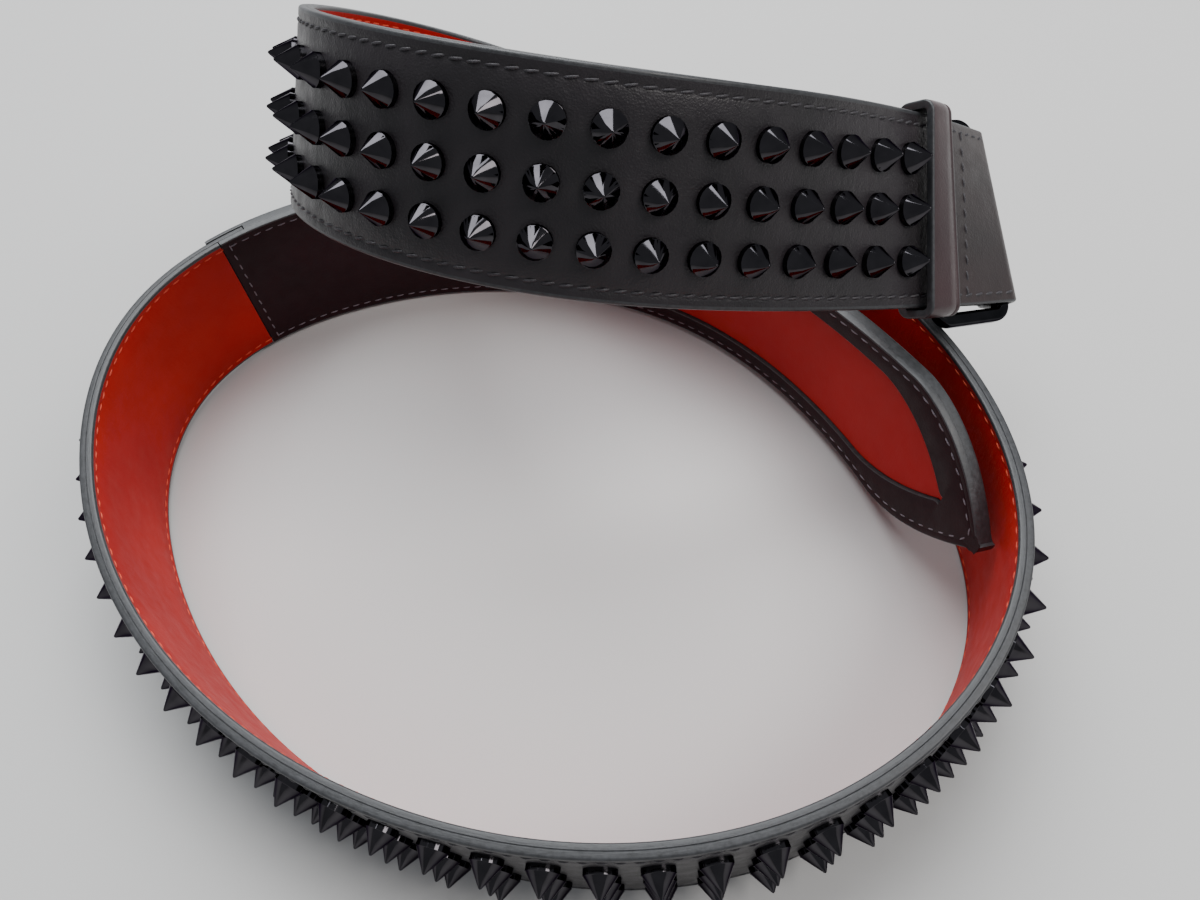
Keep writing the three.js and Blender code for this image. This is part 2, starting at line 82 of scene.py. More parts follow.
@dataclass
class BeltPath:
    """How the belt bends and twists along its length, and where that puts it in space.

    Each row of turns is one twentieth of the length further on: degrees of bend and of
    twist over a twentieth. The upright front is at a share of the length, rounded to one
    of the front_steps.
    """

    turns: tuple[tuple[float, float], ...]
    length: float = BELT_LENGTH
    front: float = 0.558
    front_steps: int = 208
    half_width: float = STRAP_HALF
    shift: tuple[float, float, float] = (0.0, 0.0, 0.0)
    steps: int = 1040
    middles: np.ndarray = field(init=False, repr=False)
    along: np.ndarray = field(init=False, repr=False)
    across: np.ndarray = field(init=False, repr=False)

    def __post_init__(self) -> None:
        """Walks the path once, from the upright front towards both ends."""
        count = self.steps + 1
        self.middles = np.zeros((count, 3))
        self.along = np.zeros((count, 3))
        self.across = np.zeros((count, 3))
        start = round(self.front * self.front_steps) * self.steps // self.front_steps
        self.middles[start] = (0.0, 0.0, self.half_width)
        self.along[start] = (-1.0, 0.0, 0.0)
        self.across[start] = (0.0, 0.0, 1.0)
        step = self.length / self.steps
        for i in range(start, self.steps):
            self._walk(i, i + 1, i * step, step)
        for i in range(start, 0, -1):
            self._walk(i, i - 1, i * step, -step)
        self.middles += np.array(self.shift)

    def _walk(self, here: int, there: int, u: float, step: float) -> None:
        """Works out one frame of the path from its neighbour.

        Args:
            here: index of the known frame.
            there: index of the frame to fill in.
            u: place of the known frame along the belt.
            step: signed distance to the next frame.
        """
        share = min(max((u + step / 2) / self.length, 0.0), 1.0) * (len(self.turns) - 1)
        row = min(int(share), len(self.turns) - 2)
        part = share - row
        scale = math.radians(1) * (len(self.turns) - 1) / self.length
        bend, twist = (
            (self.turns[row][k] * (1 - part) + self.turns[row + 1][k] * part) * scale
            for k in (0, 1)
        )
        turn = Vector(self.across[here]) * (-bend * step) + Vector(self.along[here]) * (twist * step)
        half = Matrix.Rotation(turn.length / 2, 3, turn) if turn.length else Matrix.Identity(3)
        full = half @ half
        middle = half @ Vector(self.along[here])
        self.middles[there] = self.middles[here] + np.array(middle) * step
        self.along[there] = full @ Vector(self.along[here])
        self.across[there] = full @ Vector(self.across[here])

    def frames(self, u: np.ndarray) -> tuple[np.ndarray, np.ndarray, np.ndarray, np.ndarray]:
        """Gives the path's frames at places along the belt, straight on past its ends.

        Args:
            u: places along the belt.

        Returns:
            The middle points and the directions along, across and outwards.
        """
        step = self.length / self.steps
        index = np.clip(np.floor(u / step).astype(int), 0, self.steps - 1)
        part = np.clip(u / step - index, 0.0, 1.0)[:, None]
        along = _unit(self.along[index] * (1 - part) + self.along[index + 1] * part)
        across = _unit(self.across[index] * (1 - part) + self.across[index + 1] * part)
        middle = self.middles[index] * (1 - part) + self.middles[index + 1] * part
        middle = middle + along * (u[:, None] - (index[:, None] + part) * step)
        return middle, along, across, np.cross(across, along)

    def bend(self, flat: np.ndarray) -> np.ndarray:
        """Bends flat points (u, v, h) along the belt.

        Args:
            flat: array of flat points in millimetres, three columns.

        Returns:
            The points in space, in metres.
        """
        middle, _, across, out = self.frames(flat[:, 0])
        return (middle + across * flat[:, 1:2] + out * flat[:, 2:3]) * MM


def _unit(vectors: np.ndarray) -> np.ndarray:
    """Scales each row to length one."""
    return vectors / np.linalg.norm(vectors, axis=-1, keepdims=True)


BELT = BeltPath(
    turns=(
        (-1, -24),
        (7, -19),
        (47, -4.5),
        (49, 3),
        (49, 5.5),
        (72, 9.5),
        (28, 12),
        (3, 12.5),
        (32, 10),
        (50, 2),
        (37, -1),
        (27, 0),
        (21, -1.5),
        (24, -0.5),
        (28, 4.5),
        (64, -2.5),
        (28, -3.5),
        (25, 2),
        (28, -1),
        (18, -9.5),
        (6, -16.5),
    ),
    shift=(17.9917, -96.1864, 0.3875),
)


# Finishes


class ShaderTree:
    """A material's node tree, with short calls for the nodes that the finishes share."""

    CELL_SMOOTHNESS = 0.6

    def __init__(self, name: str) -> None:
        """Starts a material with an empty tree and a principled shader.

        Args:
            name: the material's name.
        """
        self.material = bpy.data.materials.new(name)
        self.material.use_nodes = True
        self.tree = self.material.node_tree
        self.tree.nodes.clear()
        self.output = self.tree.nodes.new("ShaderNodeOutputMaterial")
        self.shader = self.tree.nodes.new("ShaderNodeBsdfPrincipled")
        self.link(self.shader.outputs["BSDF"], self.output.inputs["Surface"])
        self.coordinates = self.tree.nodes.new("ShaderNodeTexCoord")

    def link(self, source: bpy.types.NodeSocket, target: bpy.types.NodeSocket) -> None:
        """Joins two sockets."""
        self.tree.links.new(source, target)

    def place(self, source: str, scale: Sequence[float]) -> bpy.types.NodeSocket:
        """Scales one of the coordinate outputs.

        Args:
            source: name of the Texture Coordinate output, Object or UV.
            scale: factor for each axis.

        Returns:
            The socket with the scaled coordinates.
        """
        mapping = self.tree.nodes.new("ShaderNodeMapping")
        mapping.inputs["Scale"].default_value = tuple(scale)
        self.link(self.coordinates.outputs[source], mapping.inputs["Vector"])
        return mapping.outputs["Vector"]

    def noise(
        self, vector: bpy.types.NodeSocket, scale: float, detail: float = 3.0, rough: float = 0.5
    ) -> bpy.types.NodeSocket:
        """Adds a noise pattern.

        Args:
            vector: the coordinates.
            scale: how fine it is.
            detail: how many finer layers it has.
            rough: how strong the finer layers are.

        Returns:
            Its grey value.
        """
        node = self.tree.nodes.new("ShaderNodeTexNoise")
        node.inputs["Scale"].default_value = scale
        node.inputs["Detail"].default_value = detail
        node.inputs["Roughness"].default_value = rough
        self.link(vector, node.inputs["Vector"])
        return node.outputs["Fac"]

    def cells(self, vector: bpy.types.NodeSocket, scale: float) -> bpy.types.NodeSocket:
        """Adds a smooth cell pattern.

        Args:
            vector: the coordinates.
            scale: how fine it is.

        Returns:
            The distance from the middle of a cell.
        """
        node = self.tree.nodes.new("ShaderNodeTexVoronoi")
        node.feature = "SMOOTH_F1"
        node.inputs["Scale"].default_value = scale
        node.inputs["Smoothness"].default_value = self.CELL_SMOOTHNESS
        self.link(vector, node.inputs["Vector"])
        return node.outputs["Distance"]

    def spread(
        self, value: bpy.types.NodeSocket, low: float, high: float, start: float = 0.3, end: float = 0.7
    ) -> bpy.types.NodeSocket:
        """Maps a grey value to a new range.

        Args:
            value: the grey value.
            low: result at the start.
            high: result at the end.
            start: grey value that gives low.
            end: grey value that gives high.

        Returns:
            The mapped value.
        """
        node = self.tree.nodes.new("ShaderNodeMapRange")
        node.inputs["From Min"].default_value = start
        node.inputs["From Max"].default_value = end
        node.inputs["To Min"].default_value = low
        node.inputs["To Max"].default_value = high
        self.link(value, node.inputs["Value"])
        return node.outputs["Result"]

    def blend(self, value: bpy.types.NodeSocket, first: Colour, second: Colour) -> bpy.types.NodeSocket:
        """Mixes two colours by a grey value.

        Args:
            value: the grey value.
            first: colour at 0.
            second: colour at 1.

        Returns:
            The mixed colour.
        """
        node = self.tree.nodes.new("ShaderNodeMix")
        node.data_type = "RGBA"
        node.inputs[6].default_value = (*first, 1.0)
        node.inputs[7].default_value = (*second, 1.0)
        self.link(value, node.inputs[0])
        return node.outputs[2]

    def relief(
        self,
        height: bpy.types.NodeSocket,
        depth: float,
        strength: float,
        under: bpy.types.NodeSocket | None = None,
    ) -> bpy.types.NodeSocket:
        """Adds a bump, over another one if given.

        Args:
            height: the pattern that gives the height.
            depth: its depth in metres.
            strength: how much of it is used.
            under: the normal of the bump below.

        Returns:
            The new normal.
        """
        node = self.tree.nodes.new("ShaderNodeBump")
        node.inputs["Distance"].default_value = depth
        node.inputs["Strength"].default_value = strength
        self.link(height, node.inputs["Height"])
        if under is not None:
            self.link(under, node.inputs["Normal"])
        return node.outputs["Normal"]

    def paint(self, pattern: bpy.types.NodeSocket, first: Colour, second: Colour) -> None:
        """Colours the shader with two colours mixed by a pattern."""
        self.link(self.blend(pattern, first, second), self.shader.inputs["Base Color"])

    def gloss(self, pattern: bpy.types.NodeSocket, low: float, high: float) -> None:
        """Lets a pattern set the roughness between two values."""
        self.link(self.spread(pattern, low, high), self.shader.inputs["Roughness"])

    def bump(self, normal: bpy.types.NodeSocket) -> None:
        """Gives the shader its normal."""
        self.link(normal, self.shader.inputs["Normal"])

    def set(self, **values: float) -> None:
        """Sets the shader's plain sockets, named in lower case with underscores."""
        for socket in self.shader.inputs:
            key = socket.name.replace(" ", "_").lower()
            if key in values:
                socket.default_value = values.pop(key)
        if values:
            raise KeyError(f"no shader sockets {sorted(values)}")


@dataclass(frozen=True)
class SmoothLeather:
    """Smooth leather with a fine grain, soft broad patches and light creases.

    Scales are in pattern cells to a metre, depths in metres.
    """

    name: str
    colour: Colour
    patch: Colour
    roughness: tuple[float, float] = (0.34, 0.46)
    grain: float = 0.25
    crease: float = 0.12
    specular: float = 0.5
    patch_scale: float = 45
    gloss_scale: float = 260
    crease_scale: float = 5  # to a unit of the texture coordinates
    crease_depth: float = 0.0006
    fold_scale: float = 700
    fold_depth: float = 0.0002
    pore_scale: float = 2400
    pore_depth: float = 0.00012
    fine_scale: float = 5200
    fine_depth: float = 0.00006

    def material(self) -> bpy.types.Material:
        """Builds the material, with its bumps from the broadest to the finest."""
        tree = ShaderTree(self.name)
        place = tree.place("Object", (1, 1, 1))
        tree.paint(tree.spread(tree.noise(place, self.patch_scale, 4), 0, 1), self.colour, self.patch)
        tree.gloss(tree.noise(place, self.gloss_scale, 3), *self.roughness)
        creases = tree.noise(tree.place("UV", (1.0, 0.35, 1)), self.crease_scale, 5, 0.6)
        normal = tree.relief(creases, self.crease_depth, self.crease)
        folds = tree.noise(place, self.fold_scale, 4, 0.65)
        normal = tree.relief(folds, self.fold_depth, self.grain, normal)
        pores = tree.cells(place, self.pore_scale)
        normal = tree.relief(pores, self.pore_depth, self.grain, normal)
        fine = tree.noise(place, self.fine_scale, 2)
        tree.bump(tree.relief(fine, self.fine_depth, self.grain, normal))
        tree.set(specular_ior_level=self.specular)
        return tree.material


@dataclass(frozen=True)
class EdgePaint:
    """Dark satin paint on a cut edge, with specks and faint lines along it."""

    name: str
    colour: Colour
    worn: Colour
    roughness: tuple[float, float] = (0.36, 0.5)
    speck_scale: float = 900
    line_scale: float = 22.0
    line_depth: float = 0.00015
    dust_scale: float = 2200
    dust_depth: float = 0.00008

    def material(self) -> bpy.types.Material:
        """Builds the material."""
        tree = ShaderTree(self.name)
        place = tree.place("Object", (1, 1, 1))
        stretched = tree.place("UV", (0.12, 1, 1))
        specks = tree.noise(place, self.speck_scale, 5, 0.7)
        tree.paint(tree.spread(specks, 0, 1), self.colour, self.worn)
        tree.gloss(specks, *self.roughness)
        ridges = tree.relief(tree.noise(stretched, self.line_scale, 2), self.line_depth, 0.25)
        dust = tree.noise(place, self.dust_scale, 3, 0.6)
        tree.bump(tree.relief(dust, self.dust_depth, 0.4, ridges))
        return tree.material


@dataclass(frozen=True)
class Thread:
    """Waxed sewing thread of two strands."""

    name: str
    colour: Colour
    light: Colour
    roughness: float = 0.5
    fibre_scale: float = 4200
    fibre_depth: float = 0.0001

    def material(self) -> bpy.types.Material:
        """Builds the material."""
        tree = ShaderTree(self.name)
        fibres = tree.noise(tree.place("Object", (1, 1, 1)), self.fibre_scale, 3)
        tree.paint(tree.spread(fibres, 0, 1), self.colour, self.light)
        tree.bump(tree.relief(fibres, self.fibre_depth, 0.5))
        tree.set(roughness=self.roughness)
        return tree.material


@dataclass(frozen=True)
class DarkMetal:
    """Black lacquered metal with a faint unevenness in its gloss."""

    name: str
    colour: Colour
    patch: Colour
    roughness: tuple[float, float] = (0.05, 0.12)
    metallic: float = 1.0
    rim: Colour = (0.35, 0.34, 0.36)
    cloud_scale: float = 320
    gloss_scale: float = 1500
    wave_scale: float = 900
    wave_depth: float = 0.00003

    def material(self) -> bpy.types.Material:
        """Builds the material."""
        tree = ShaderTree(self.name)
        place = tree.place("Object", (1, 1, 1))
        tree.paint(tree.spread(tree.noise(place, self.cloud_scale, 3), 0, 1), self.colour, self.patch)
        tree.gloss(tree.noise(place, self.gloss_scale, 3), *self.roughness)
        tree.bump(tree.relief(tree.noise(place, self.wave_scale, 2), self.wave_depth, 0.1))
        tree.set(metallic=self.metallic)
        tree.shader.inputs["Specular Tint"].default_value = (*self.rim, 1.0)
        return tree.material


@dataclass(frozen=True)
class PaleFloor:
    """Plain pale floor."""

    name: str = "pale_floor"
    colour: Colour = (0.56, 0.55, 0.54)
    patch: Colour = (0.6, 0.59, 0.58)
    patch_scale: float = 6
    grain_scale: float = 900
    grain_depth: float = 0.0001

    def material(self) -> bpy.types.Material:
        """Builds the material."""
        tree = ShaderTree(self.name)
        place = tree.place("Object", (1, 1, 1))
        tree.paint(tree.noise(place, self.patch_scale, 4), self.colour, self.patch)
        tree.bump(tree.relief(tree.noise(place, self.grain_scale, 3), self.grain_depth, 0.1))
        tree.set(roughness=0.7, specular_ior_level=0.3)
        return tree.material


@dataclass(frozen=True)
class Finishes:
    """Every finish of the belt."""

    face: bpy.types.Material
    edge: bpy.types.Material
    red: bpy.types.Material
    burgundy: bpy.types.Material
    inlay: bpy.types.Material
    loop: bpy.types.Material
    tab: bpy.types.Material
    metal: bpy.types.Material
    stud: bpy.types.Material
    black_thread: bpy.types.Material
    red_thread: bpy.types.Material
    pale_thread: bpy.types.Material

    @classmethod
    def make(cls) -> "Finishes":
        """Builds all materials."""
        return cls(**{name: recipe.material() for name, recipe in RECIPES.items()})


RECIPES = {
    "face": SmoothLeather(
        "black_calf",
        colour=(0.009, 0.007, 0.0085),
        patch=(0.02, 0.015, 0.018),
        roughness=(0.36, 0.5),
        grain=0.45,
        crease=0.2,
    ),
    "edge": EdgePaint("edge_paint", colour=(0.02, 0.0205, 0.022), worn=(0.045, 0.046, 0.05)),
    "red": SmoothLeather(
        "red_leather",
        colour=(0.36, 0.007, 0.006),
        patch=(0.44, 0.011, 0.008),
        roughness=(0.5, 0.62),
        grain=0.22,
        crease=0.25,
        specular=0.16,
    ),
    "burgundy": SmoothLeather(
        "burgundy_leather",
        colour=(0.012, 0.0018, 0.0035),
        patch=(0.02, 0.0032, 0.006),
        roughness=(0.5, 0.62),
        grain=0.25,
        crease=0.1,
        specular=0.2,
    ),
    "inlay": SmoothLeather(
        "red_inlay",
        colour=(0.36, 0.007, 0.007),
        patch=(0.4, 0.01, 0.009),
        roughness=(0.5, 0.58),
        grain=0.12,
        crease=0.06,
        specular=0.16,
    ),
    # The keeper's colour is partly its own brown tone and partly a painted pink reflection and painted
    # light, so it is lighter and redder than the face leather.
    "loop": SmoothLeather(
        "loop_leather",
        colour=(0.03, 0.017, 0.019),
        patch=(0.05, 0.026, 0.028),
        roughness=(0.3, 0.4),
        grain=0.15,
        crease=0.1,
    ),
    "tab": SmoothLeather("tab_leather", colour=(0.02, 0.015, 0.015), patch=(0.034, 0.022, 0.022)),
    "metal": DarkMetal(
        "black_metal", colour=(0.022, 0.022, 0.024), patch=(0.034, 0.034, 0.037), roughness=(0.12, 0.2)
    ),
    "stud": DarkMetal(
        "stud_metal", colour=(0.04, 0.038, 0.042), patch=(0.055, 0.052, 0.057), roughness=(0.05, 0.1)
    ),
    "black_thread": Thread("black_thread", colour=(0.012, 0.01, 0.012), light=(0.05, 0.045, 0.052)),
    "red_thread": Thread("red_thread", colour=(0.55, 0.035, 0.014), light=(0.75, 0.09, 0.03)),
    "pale_thread": Thread("pale_thread", colour=(0.1, 0.085, 0.1), light=(0.24, 0.21, 0.24)),
}


# Swept skins


class Zone(Enum):
    """Which finish a strip of a section takes."""

    FACE = 0
    EDGE = 1
    BACK = 2


@dataclass
class Section:
    """A closed section of a leather layer: its points, and the zone after each point."""

    points: list[FlatPoint] = field(default_factory=list)
    zones: list[Zone] = field(default_factory=list)

    def add(self, x: float, y: float, zone: Zone) -> None:
        """Adds a point and the zone of the strip that follows it."""
        self.points.append((x, y))
        self.zones.append(zone)

    def round(self, x: float, y: float, radius: float, start: float) -> None:
        """Adds a quarter round of painted edge that turns to the right.

        Args:
            x: middle of the round.
            y: middle of the round.
            radius: its radius.
            start: its last angle, in degrees.
        """
        for point in reversed(rounded_corner(x, y, radius, start)):
            self.add(*point, Zone.EDGE)


def make_object(name: str, mesh: bpy.types.Mesh) -> bpy.types.Object:
    """Makes a mesh an object of the scene.

    Args:
        name: the piece's name.
        mesh: its mesh, in place.

    Returns:
        The object, at the origin.
    """
    piece = bpy.data.objects.new(name, mesh)
    bpy.context.scene.collection.objects.link(piece)
    return piece


def outward(mesh: bpy.types.Mesh, sharp: float = 40.0) -> None:
    """Turns a closed skin's faces outwards and smooths all but its sharp edges.

    Args:
        mesh: the closed mesh.
        sharp: least angle of an edge that stays sharp, in degrees.
    """
    work = bmesh.new()
    work.from_mesh(mesh)
    bmesh.ops.remove_doubles(work, verts=work.verts, dist=1e-7)
    bmesh.ops.recalc_face_normals(work, faces=work.faces)
    work.to_mesh(mesh)
    work.free()
    mesh.shade_smooth()
    mesh.set_sharp_from_angle(angle=math.radians(sharp))


def sweep(
    name: str,
    rings: Sequence[Sequence[Sequence[float]]],
    zones: Sequence[Zone],
    materials: Sequence[bpy.types.Material],
    place: Callable[[np.ndarray], np.ndarray],
    sweep_closed: bool = False,
) -> bpy.types.Object:
    """Joins rings of flat points to one closed skin and puts it in place.

    Args:
        name: the piece's name.
        rings: rings of flat points, all of one count.
        zones: zone of the strip that follows each point of a ring.
        materials: one material for each zone, in the zones' order.
        place: moves flat points into space.
        sweep_closed: whether the last ring meets the first.

    Returns:
        The piece.
    """
    flat = np.array(rings, dtype=float)
    count, size = flat.shape[:2]
    index = np.arange(count * size).reshape(count, size)
    length = np.concatenate([[0], np.cumsum(np.linalg.norm(np.diff(flat[:, 0], axis=0), axis=1))])
    around = np.linalg.norm(np.diff(flat[0], axis=0, append=flat[0, :1]), axis=1)
    girth = np.concatenate([[0], np.cumsum(around)])
    faces, marks, uvs = [], [], []
    for i in range(count if sweep_closed else count - 1):
        k = (i + 1) % count
        start, end = length[i] / UV_UNIT, length[i + 1 if i + 1 < count else i] / UV_UNIT
        for j in range(size):
            m = (j + 1) % size
            faces.append((index[i, j], index[i, m], index[k, m], index[k, j]))
            marks.append(zones[j].value)
            low, high = girth[j] / UV_UNIT, girth[j + 1] / UV_UNIT
            uvs += [(start, low), (start, high), (end, high), (end, low)]
    if not sweep_closed:
        for i in (0, count - 1):
            faces.append(tuple(index[i]))
            marks.append(Zone.EDGE.value)
            uvs += [(p[1] / UV_UNIT, p[2] / UV_UNIT) for p in flat[i]]
    mesh = bpy.data.meshes.new(name)
    mesh.from_pydata(place(flat.reshape(-1, 3)).tolist(), [], [tuple(map(int, f)) for f in faces])
    mesh.polygons.foreach_set("material_index", marks)
    layer = mesh.uv_layers.new(name="strap")
    layer.data.foreach_set("uv", np.array(uvs, dtype=np.float32).ravel())
    for material in materials:
        mesh.materials.append(material)
    outward(mesh)
    return make_object(name, mesh)


def rounded_corner(x: float, y: float, radius: float, start: float, steps: int = 4) -> list[FlatPoint]:
    """Gives the points of a quarter round.

    Args:
        x: middle of the round.
        y: middle of the round.
        radius: its radius.
        start: its first angle, in degrees.
        steps: how many chords it has.

    Returns:
        Its points, turning to the left.
    """
    angles = [math.radians(start + 90 * i / steps) for i in range(steps + 1)]
    return [(x + radius * math.cos(a), y + radius * math.sin(a)) for a in angles]


def rounded_box(half_x: float, half_y: float, radius: float, steps: int) -> list[FlatPoint]:
    """Gives a small rounded rectangle round the origin.

    Args:
        half_x: half its width.
        half_y: half its height.
        radius: radius of its corners.
        steps: chords of each corner.

    Returns:
        Its points, turning to the left.
    """
    outline = []
    for x, y, start in ((1, 1, 0), (-1, 1, 90), (-1, -1, 180), (1, -1, 270)):
        outline += rounded_corner(x * (half_x - radius), y * (half_y - radius), radius, start, steps)
    return outline


def rounded_loop(left: float, right: float, low: float, high: float, radius: float) -> list[Facing]:
    """Gives a rounded rectangle that a section is swept round.

    Args:
        left: its least x.
        right: its greatest x.
        low: its least y.
        high: its greatest y.
        radius: radius of its corners.

    Returns:
        Its points, each with its outward direction.
    """
    corners = (
        (right - radius, high - radius, 0.0),
        (left + radius, high - radius, 90.0),
        (left + radius, low + radius, 180.0),
        (right - radius, low + radius, 270.0),
    )
    line = []
    for x, y, start in corners:
        for i in range(QUARTER_STEPS + 1):
            angle = math.radians(start + 90 * i / QUARTER_STEPS)
            across, up = math.cos(angle), math.sin(angle)
            line.append((x + radius * across, y + radius * up, across, up))
    return line


def even(start: float, end: float, step: float) -> list[float]:
    """Divides a stretch evenly, with parts of about the given length."""
    count = max(1, round(abs(end - start) / step))
    return [start + (end - start) * i / count for i in range(count + 1)]


# What repeats: studs and stitches


class GeometryTree:
    """A Geometry Nodes tree that is built in the script, with named inputs."""

    def __init__(self, name: str) -> None:
        """Starts the tree with its geometry input and output.

        Args:
            name: the tree's name.
        """
        self.group = bpy.data.node_groups.new(name, "GeometryNodeTree")
        self.keys: dict[str, str] = {}
        self.socket("Geometry", "NodeSocketGeometry")
        self.group.interface.new_socket("Geometry", in_out="OUTPUT", socket_type="NodeSocketGeometry")
        self.inputs = self.group.nodes.new("NodeGroupInput")
        self.outputs = self.group.nodes.new("NodeGroupOutput")

    def socket(self, name: str, kind: str) -> None:
        """Adds a named input and keeps its identifier."""
        item = self.group.interface.new_socket(name, in_out="INPUT", socket_type=kind)
        self.keys[name] = item.identifier

    def node(self, kind: str, **values: object) -> bpy.types.Node:
        """Adds a node.

        Args:
            kind: its type.
            **values: its plain properties.

        Returns:
            The node.
        """
        node = self.group.nodes.new(kind)
        for name, value in values.items():
            setattr(node, name, value)
        return node

    def link(self, source: bpy.types.NodeSocket, target: bpy.types.NodeSocket) -> None:
        """Joins two sockets."""
        self.group.links.new(source, target)

    def feed(self, target: bpy.types.NodeSocket, value: object) -> None:
        """Joins a socket to another one, or sets it to a plain value."""
        if isinstance(value, bpy.types.NodeSocket):
            self.link(value, target)
        else:
            target.default_value = value

    def math(self, operation: str, first: object, second: object) -> bpy.types.NodeSocket:
        """Adds a sum of two values.

        Args:
            operation: what is done with them.
            first: a socket or a number.
            second: a socket or a number.

        Returns:
            The result.
        """
        node = self.node("ShaderNodeMath", operation=operation)
        for socket, value in zip(node.inputs, (first, second)):
            self.feed(socket, value)
        return node.outputs[0]

    def attribute(self, name: str) -> bpy.types.NodeSocket:
        """Reads a named direction of the guide.

        Args:
            name: the direction's name.

        Returns:
            The socket with the direction.
        """
        node = self.node("GeometryNodeInputNamedAttribute", data_type="FLOAT_VECTOR")
        node.inputs["Name"].default_value = name
        return next(s for s in node.outputs if s.enabled and s.name == "Attribute")

    def facing(self, out: bpy.types.NodeSocket, along: bpy.types.NodeSocket) -> bpy.types.NodeSocket:
        """Turns Z to one direction, then X to another, round Z.

        Args:
            out: the direction for Z.
            along: the direction for X.

        Returns:
            The rotation.
        """
        first = self.node("FunctionNodeAlignRotationToVector", axis="Z")
        self.link(out, first.inputs["Vector"])
        second = self.node("FunctionNodeAlignRotationToVector", axis="X", pivot_axis="Z")
        self.link(first.outputs[0], second.inputs["Rotation"])
        self.link(along, second.inputs["Vector"])
        return second.outputs[0]

    def turned(
        self, rotation: bpy.types.NodeSocket, angles: bpy.types.NodeSocket
    ) -> bpy.types.NodeSocket:
        """Turns a rotation further in its own axes.

        Args:
            rotation: the rotation.
            angles: the Euler angles to add.

        Returns:
            The new rotation.
        """
        further = self.node("FunctionNodeRotateRotation", rotation_space="LOCAL")
        self.link(rotation, further.inputs[0])
        self.link(angles, further.inputs[1])
        return further.outputs[0]

    def apply(
        self, name: str, guide: bpy.types.Mesh, values: dict[str, object], sharp: float
    ) -> bpy.types.Object:
        """Runs the tree on a guide mesh and keeps the result as a plain mesh.

        Args:
            name: the piece's name.
            guide: mesh with the points or lines that the tree follows.
            values: a value for each named input.
            sharp: least angle of an edge that stays sharp, in degrees.

        Returns:
            The piece.
        """
        piece = make_object(name, guide)
        modifier = piece.modifiers.new(name, "NODES")
        modifier.node_group = self.group
        for key, value in values.items():
            modifier[self.keys[key]] = value
        graph = bpy.context.evaluated_depsgraph_get()
        made = bpy.data.meshes.new_from_object(piece.evaluated_get(graph), depsgraph=graph)
        piece.modifiers.clear()
        piece.data = made
        made.shade_smooth()
        made.set_sharp_from_angle(angle=math.radians(sharp))
        return piece


def stud_tree() -> GeometryTree:
    """Builds the tree that sets a cone stud on every point of its guide."""
    tree = GeometryTree("cone_studs")
    for name in ("Radius", "Collar", "Height", "Lean"):
        tree.socket(name, "NodeSocketFloat")
    tree.socket("Sides", "NodeSocketInt")
    tree.socket("Seed", "NodeSocketInt")
    tree.socket("Metal", "NodeSocketMaterial")
    given = tree.inputs.outputs
    join = tree.node("GeometryNodeJoinGeometry")
    chamfer, blunt = 0.04, 0.09  # shares of the radius
    shoulder = tree.math("MULTIPLY", given["Radius"], 1 - chamfer)
    nib = tree.math("MULTIPLY", given["Radius"], blunt)
    lip = tree.math("MULTIPLY", given["Collar"], 1 - 2 * chamfer)
    point = tree.math("MULTIPLY", given["Height"], 1 - blunt / 3)
    bands = (
        (given["Radius"], given["Radius"], 0.0, lip),
        (given["Radius"], shoulder, lip, given["Collar"]),
        (shoulder, nib, given["Collar"], point),
        (nib, 0.0, point, given["Height"]),
    )
    for low, high, start, end in bands:
        cone = tree.node("GeometryNodeMeshCone", fill_type="NONE")
        tree.link(given["Sides"], cone.inputs["Vertices"])
        tree.feed(cone.inputs["Radius Bottom"], low)
        tree.feed(cone.inputs["Radius Top"], high)
        tree.link(tree.math("SUBTRACT", end, start), cone.inputs["Depth"])
        lift = tree.node("ShaderNodeCombineXYZ")
        tree.feed(lift.inputs["Z"], start)
        move = tree.node("GeometryNodeTransform")
        tree.link(cone.outputs["Mesh"], move.inputs["Geometry"])
        tree.link(lift.outputs[0], move.inputs["Translation"])
        tree.link(move.outputs[0], join.inputs[0])
    foot = tree.node("GeometryNodeMeshCircle", fill_type="NGON")
    tree.link(given["Sides"], foot.inputs["Vertices"])
    tree.link(given["Radius"], foot.inputs["Radius"])
    flip = tree.node("GeometryNodeFlipFaces")
    tree.link(foot.outputs[0], flip.inputs[0])
    tree.link(flip.outputs[0], join.inputs[0])
    weld = tree.node("GeometryNodeMergeByDistance")
    weld.inputs["Distance"].default_value = 1e-6
    tree.link(join.outputs[0], weld.inputs[0])
    lean = tree.node("FunctionNodeRandomValue", data_type="FLOAT_VECTOR")
    spin = tree.node("ShaderNodeCombineXYZ")
    for axis in ("X", "Y"):
        tree.link(given["Lean"], spin.inputs[axis])
    spin.inputs["Z"].default_value = math.pi
    back = tree.node("ShaderNodeVectorMath", operation="SCALE")
    back.inputs["Scale"].default_value = -1
    tree.link(spin.outputs[0], back.inputs[0])
    tree.link(back.outputs[0], lean.inputs[0])
    tree.link(spin.outputs[0], lean.inputs[1])
    tree.link(given["Seed"], lean.inputs["Seed"])
    put = tree.node("GeometryNodeInstanceOnPoints")
    tree.link(given["Geometry"], put.inputs["Points"])
    tree.link(weld.outputs[0], put.inputs["Instance"])
    rotation = tree.facing(tree.attribute("out"), tree.attribute("along"))
    tree.link(tree.turned(rotation, lean.outputs[0]), put.inputs["Rotation"])
    finish(tree, put.outputs[0], given["Metal"])
    return tree


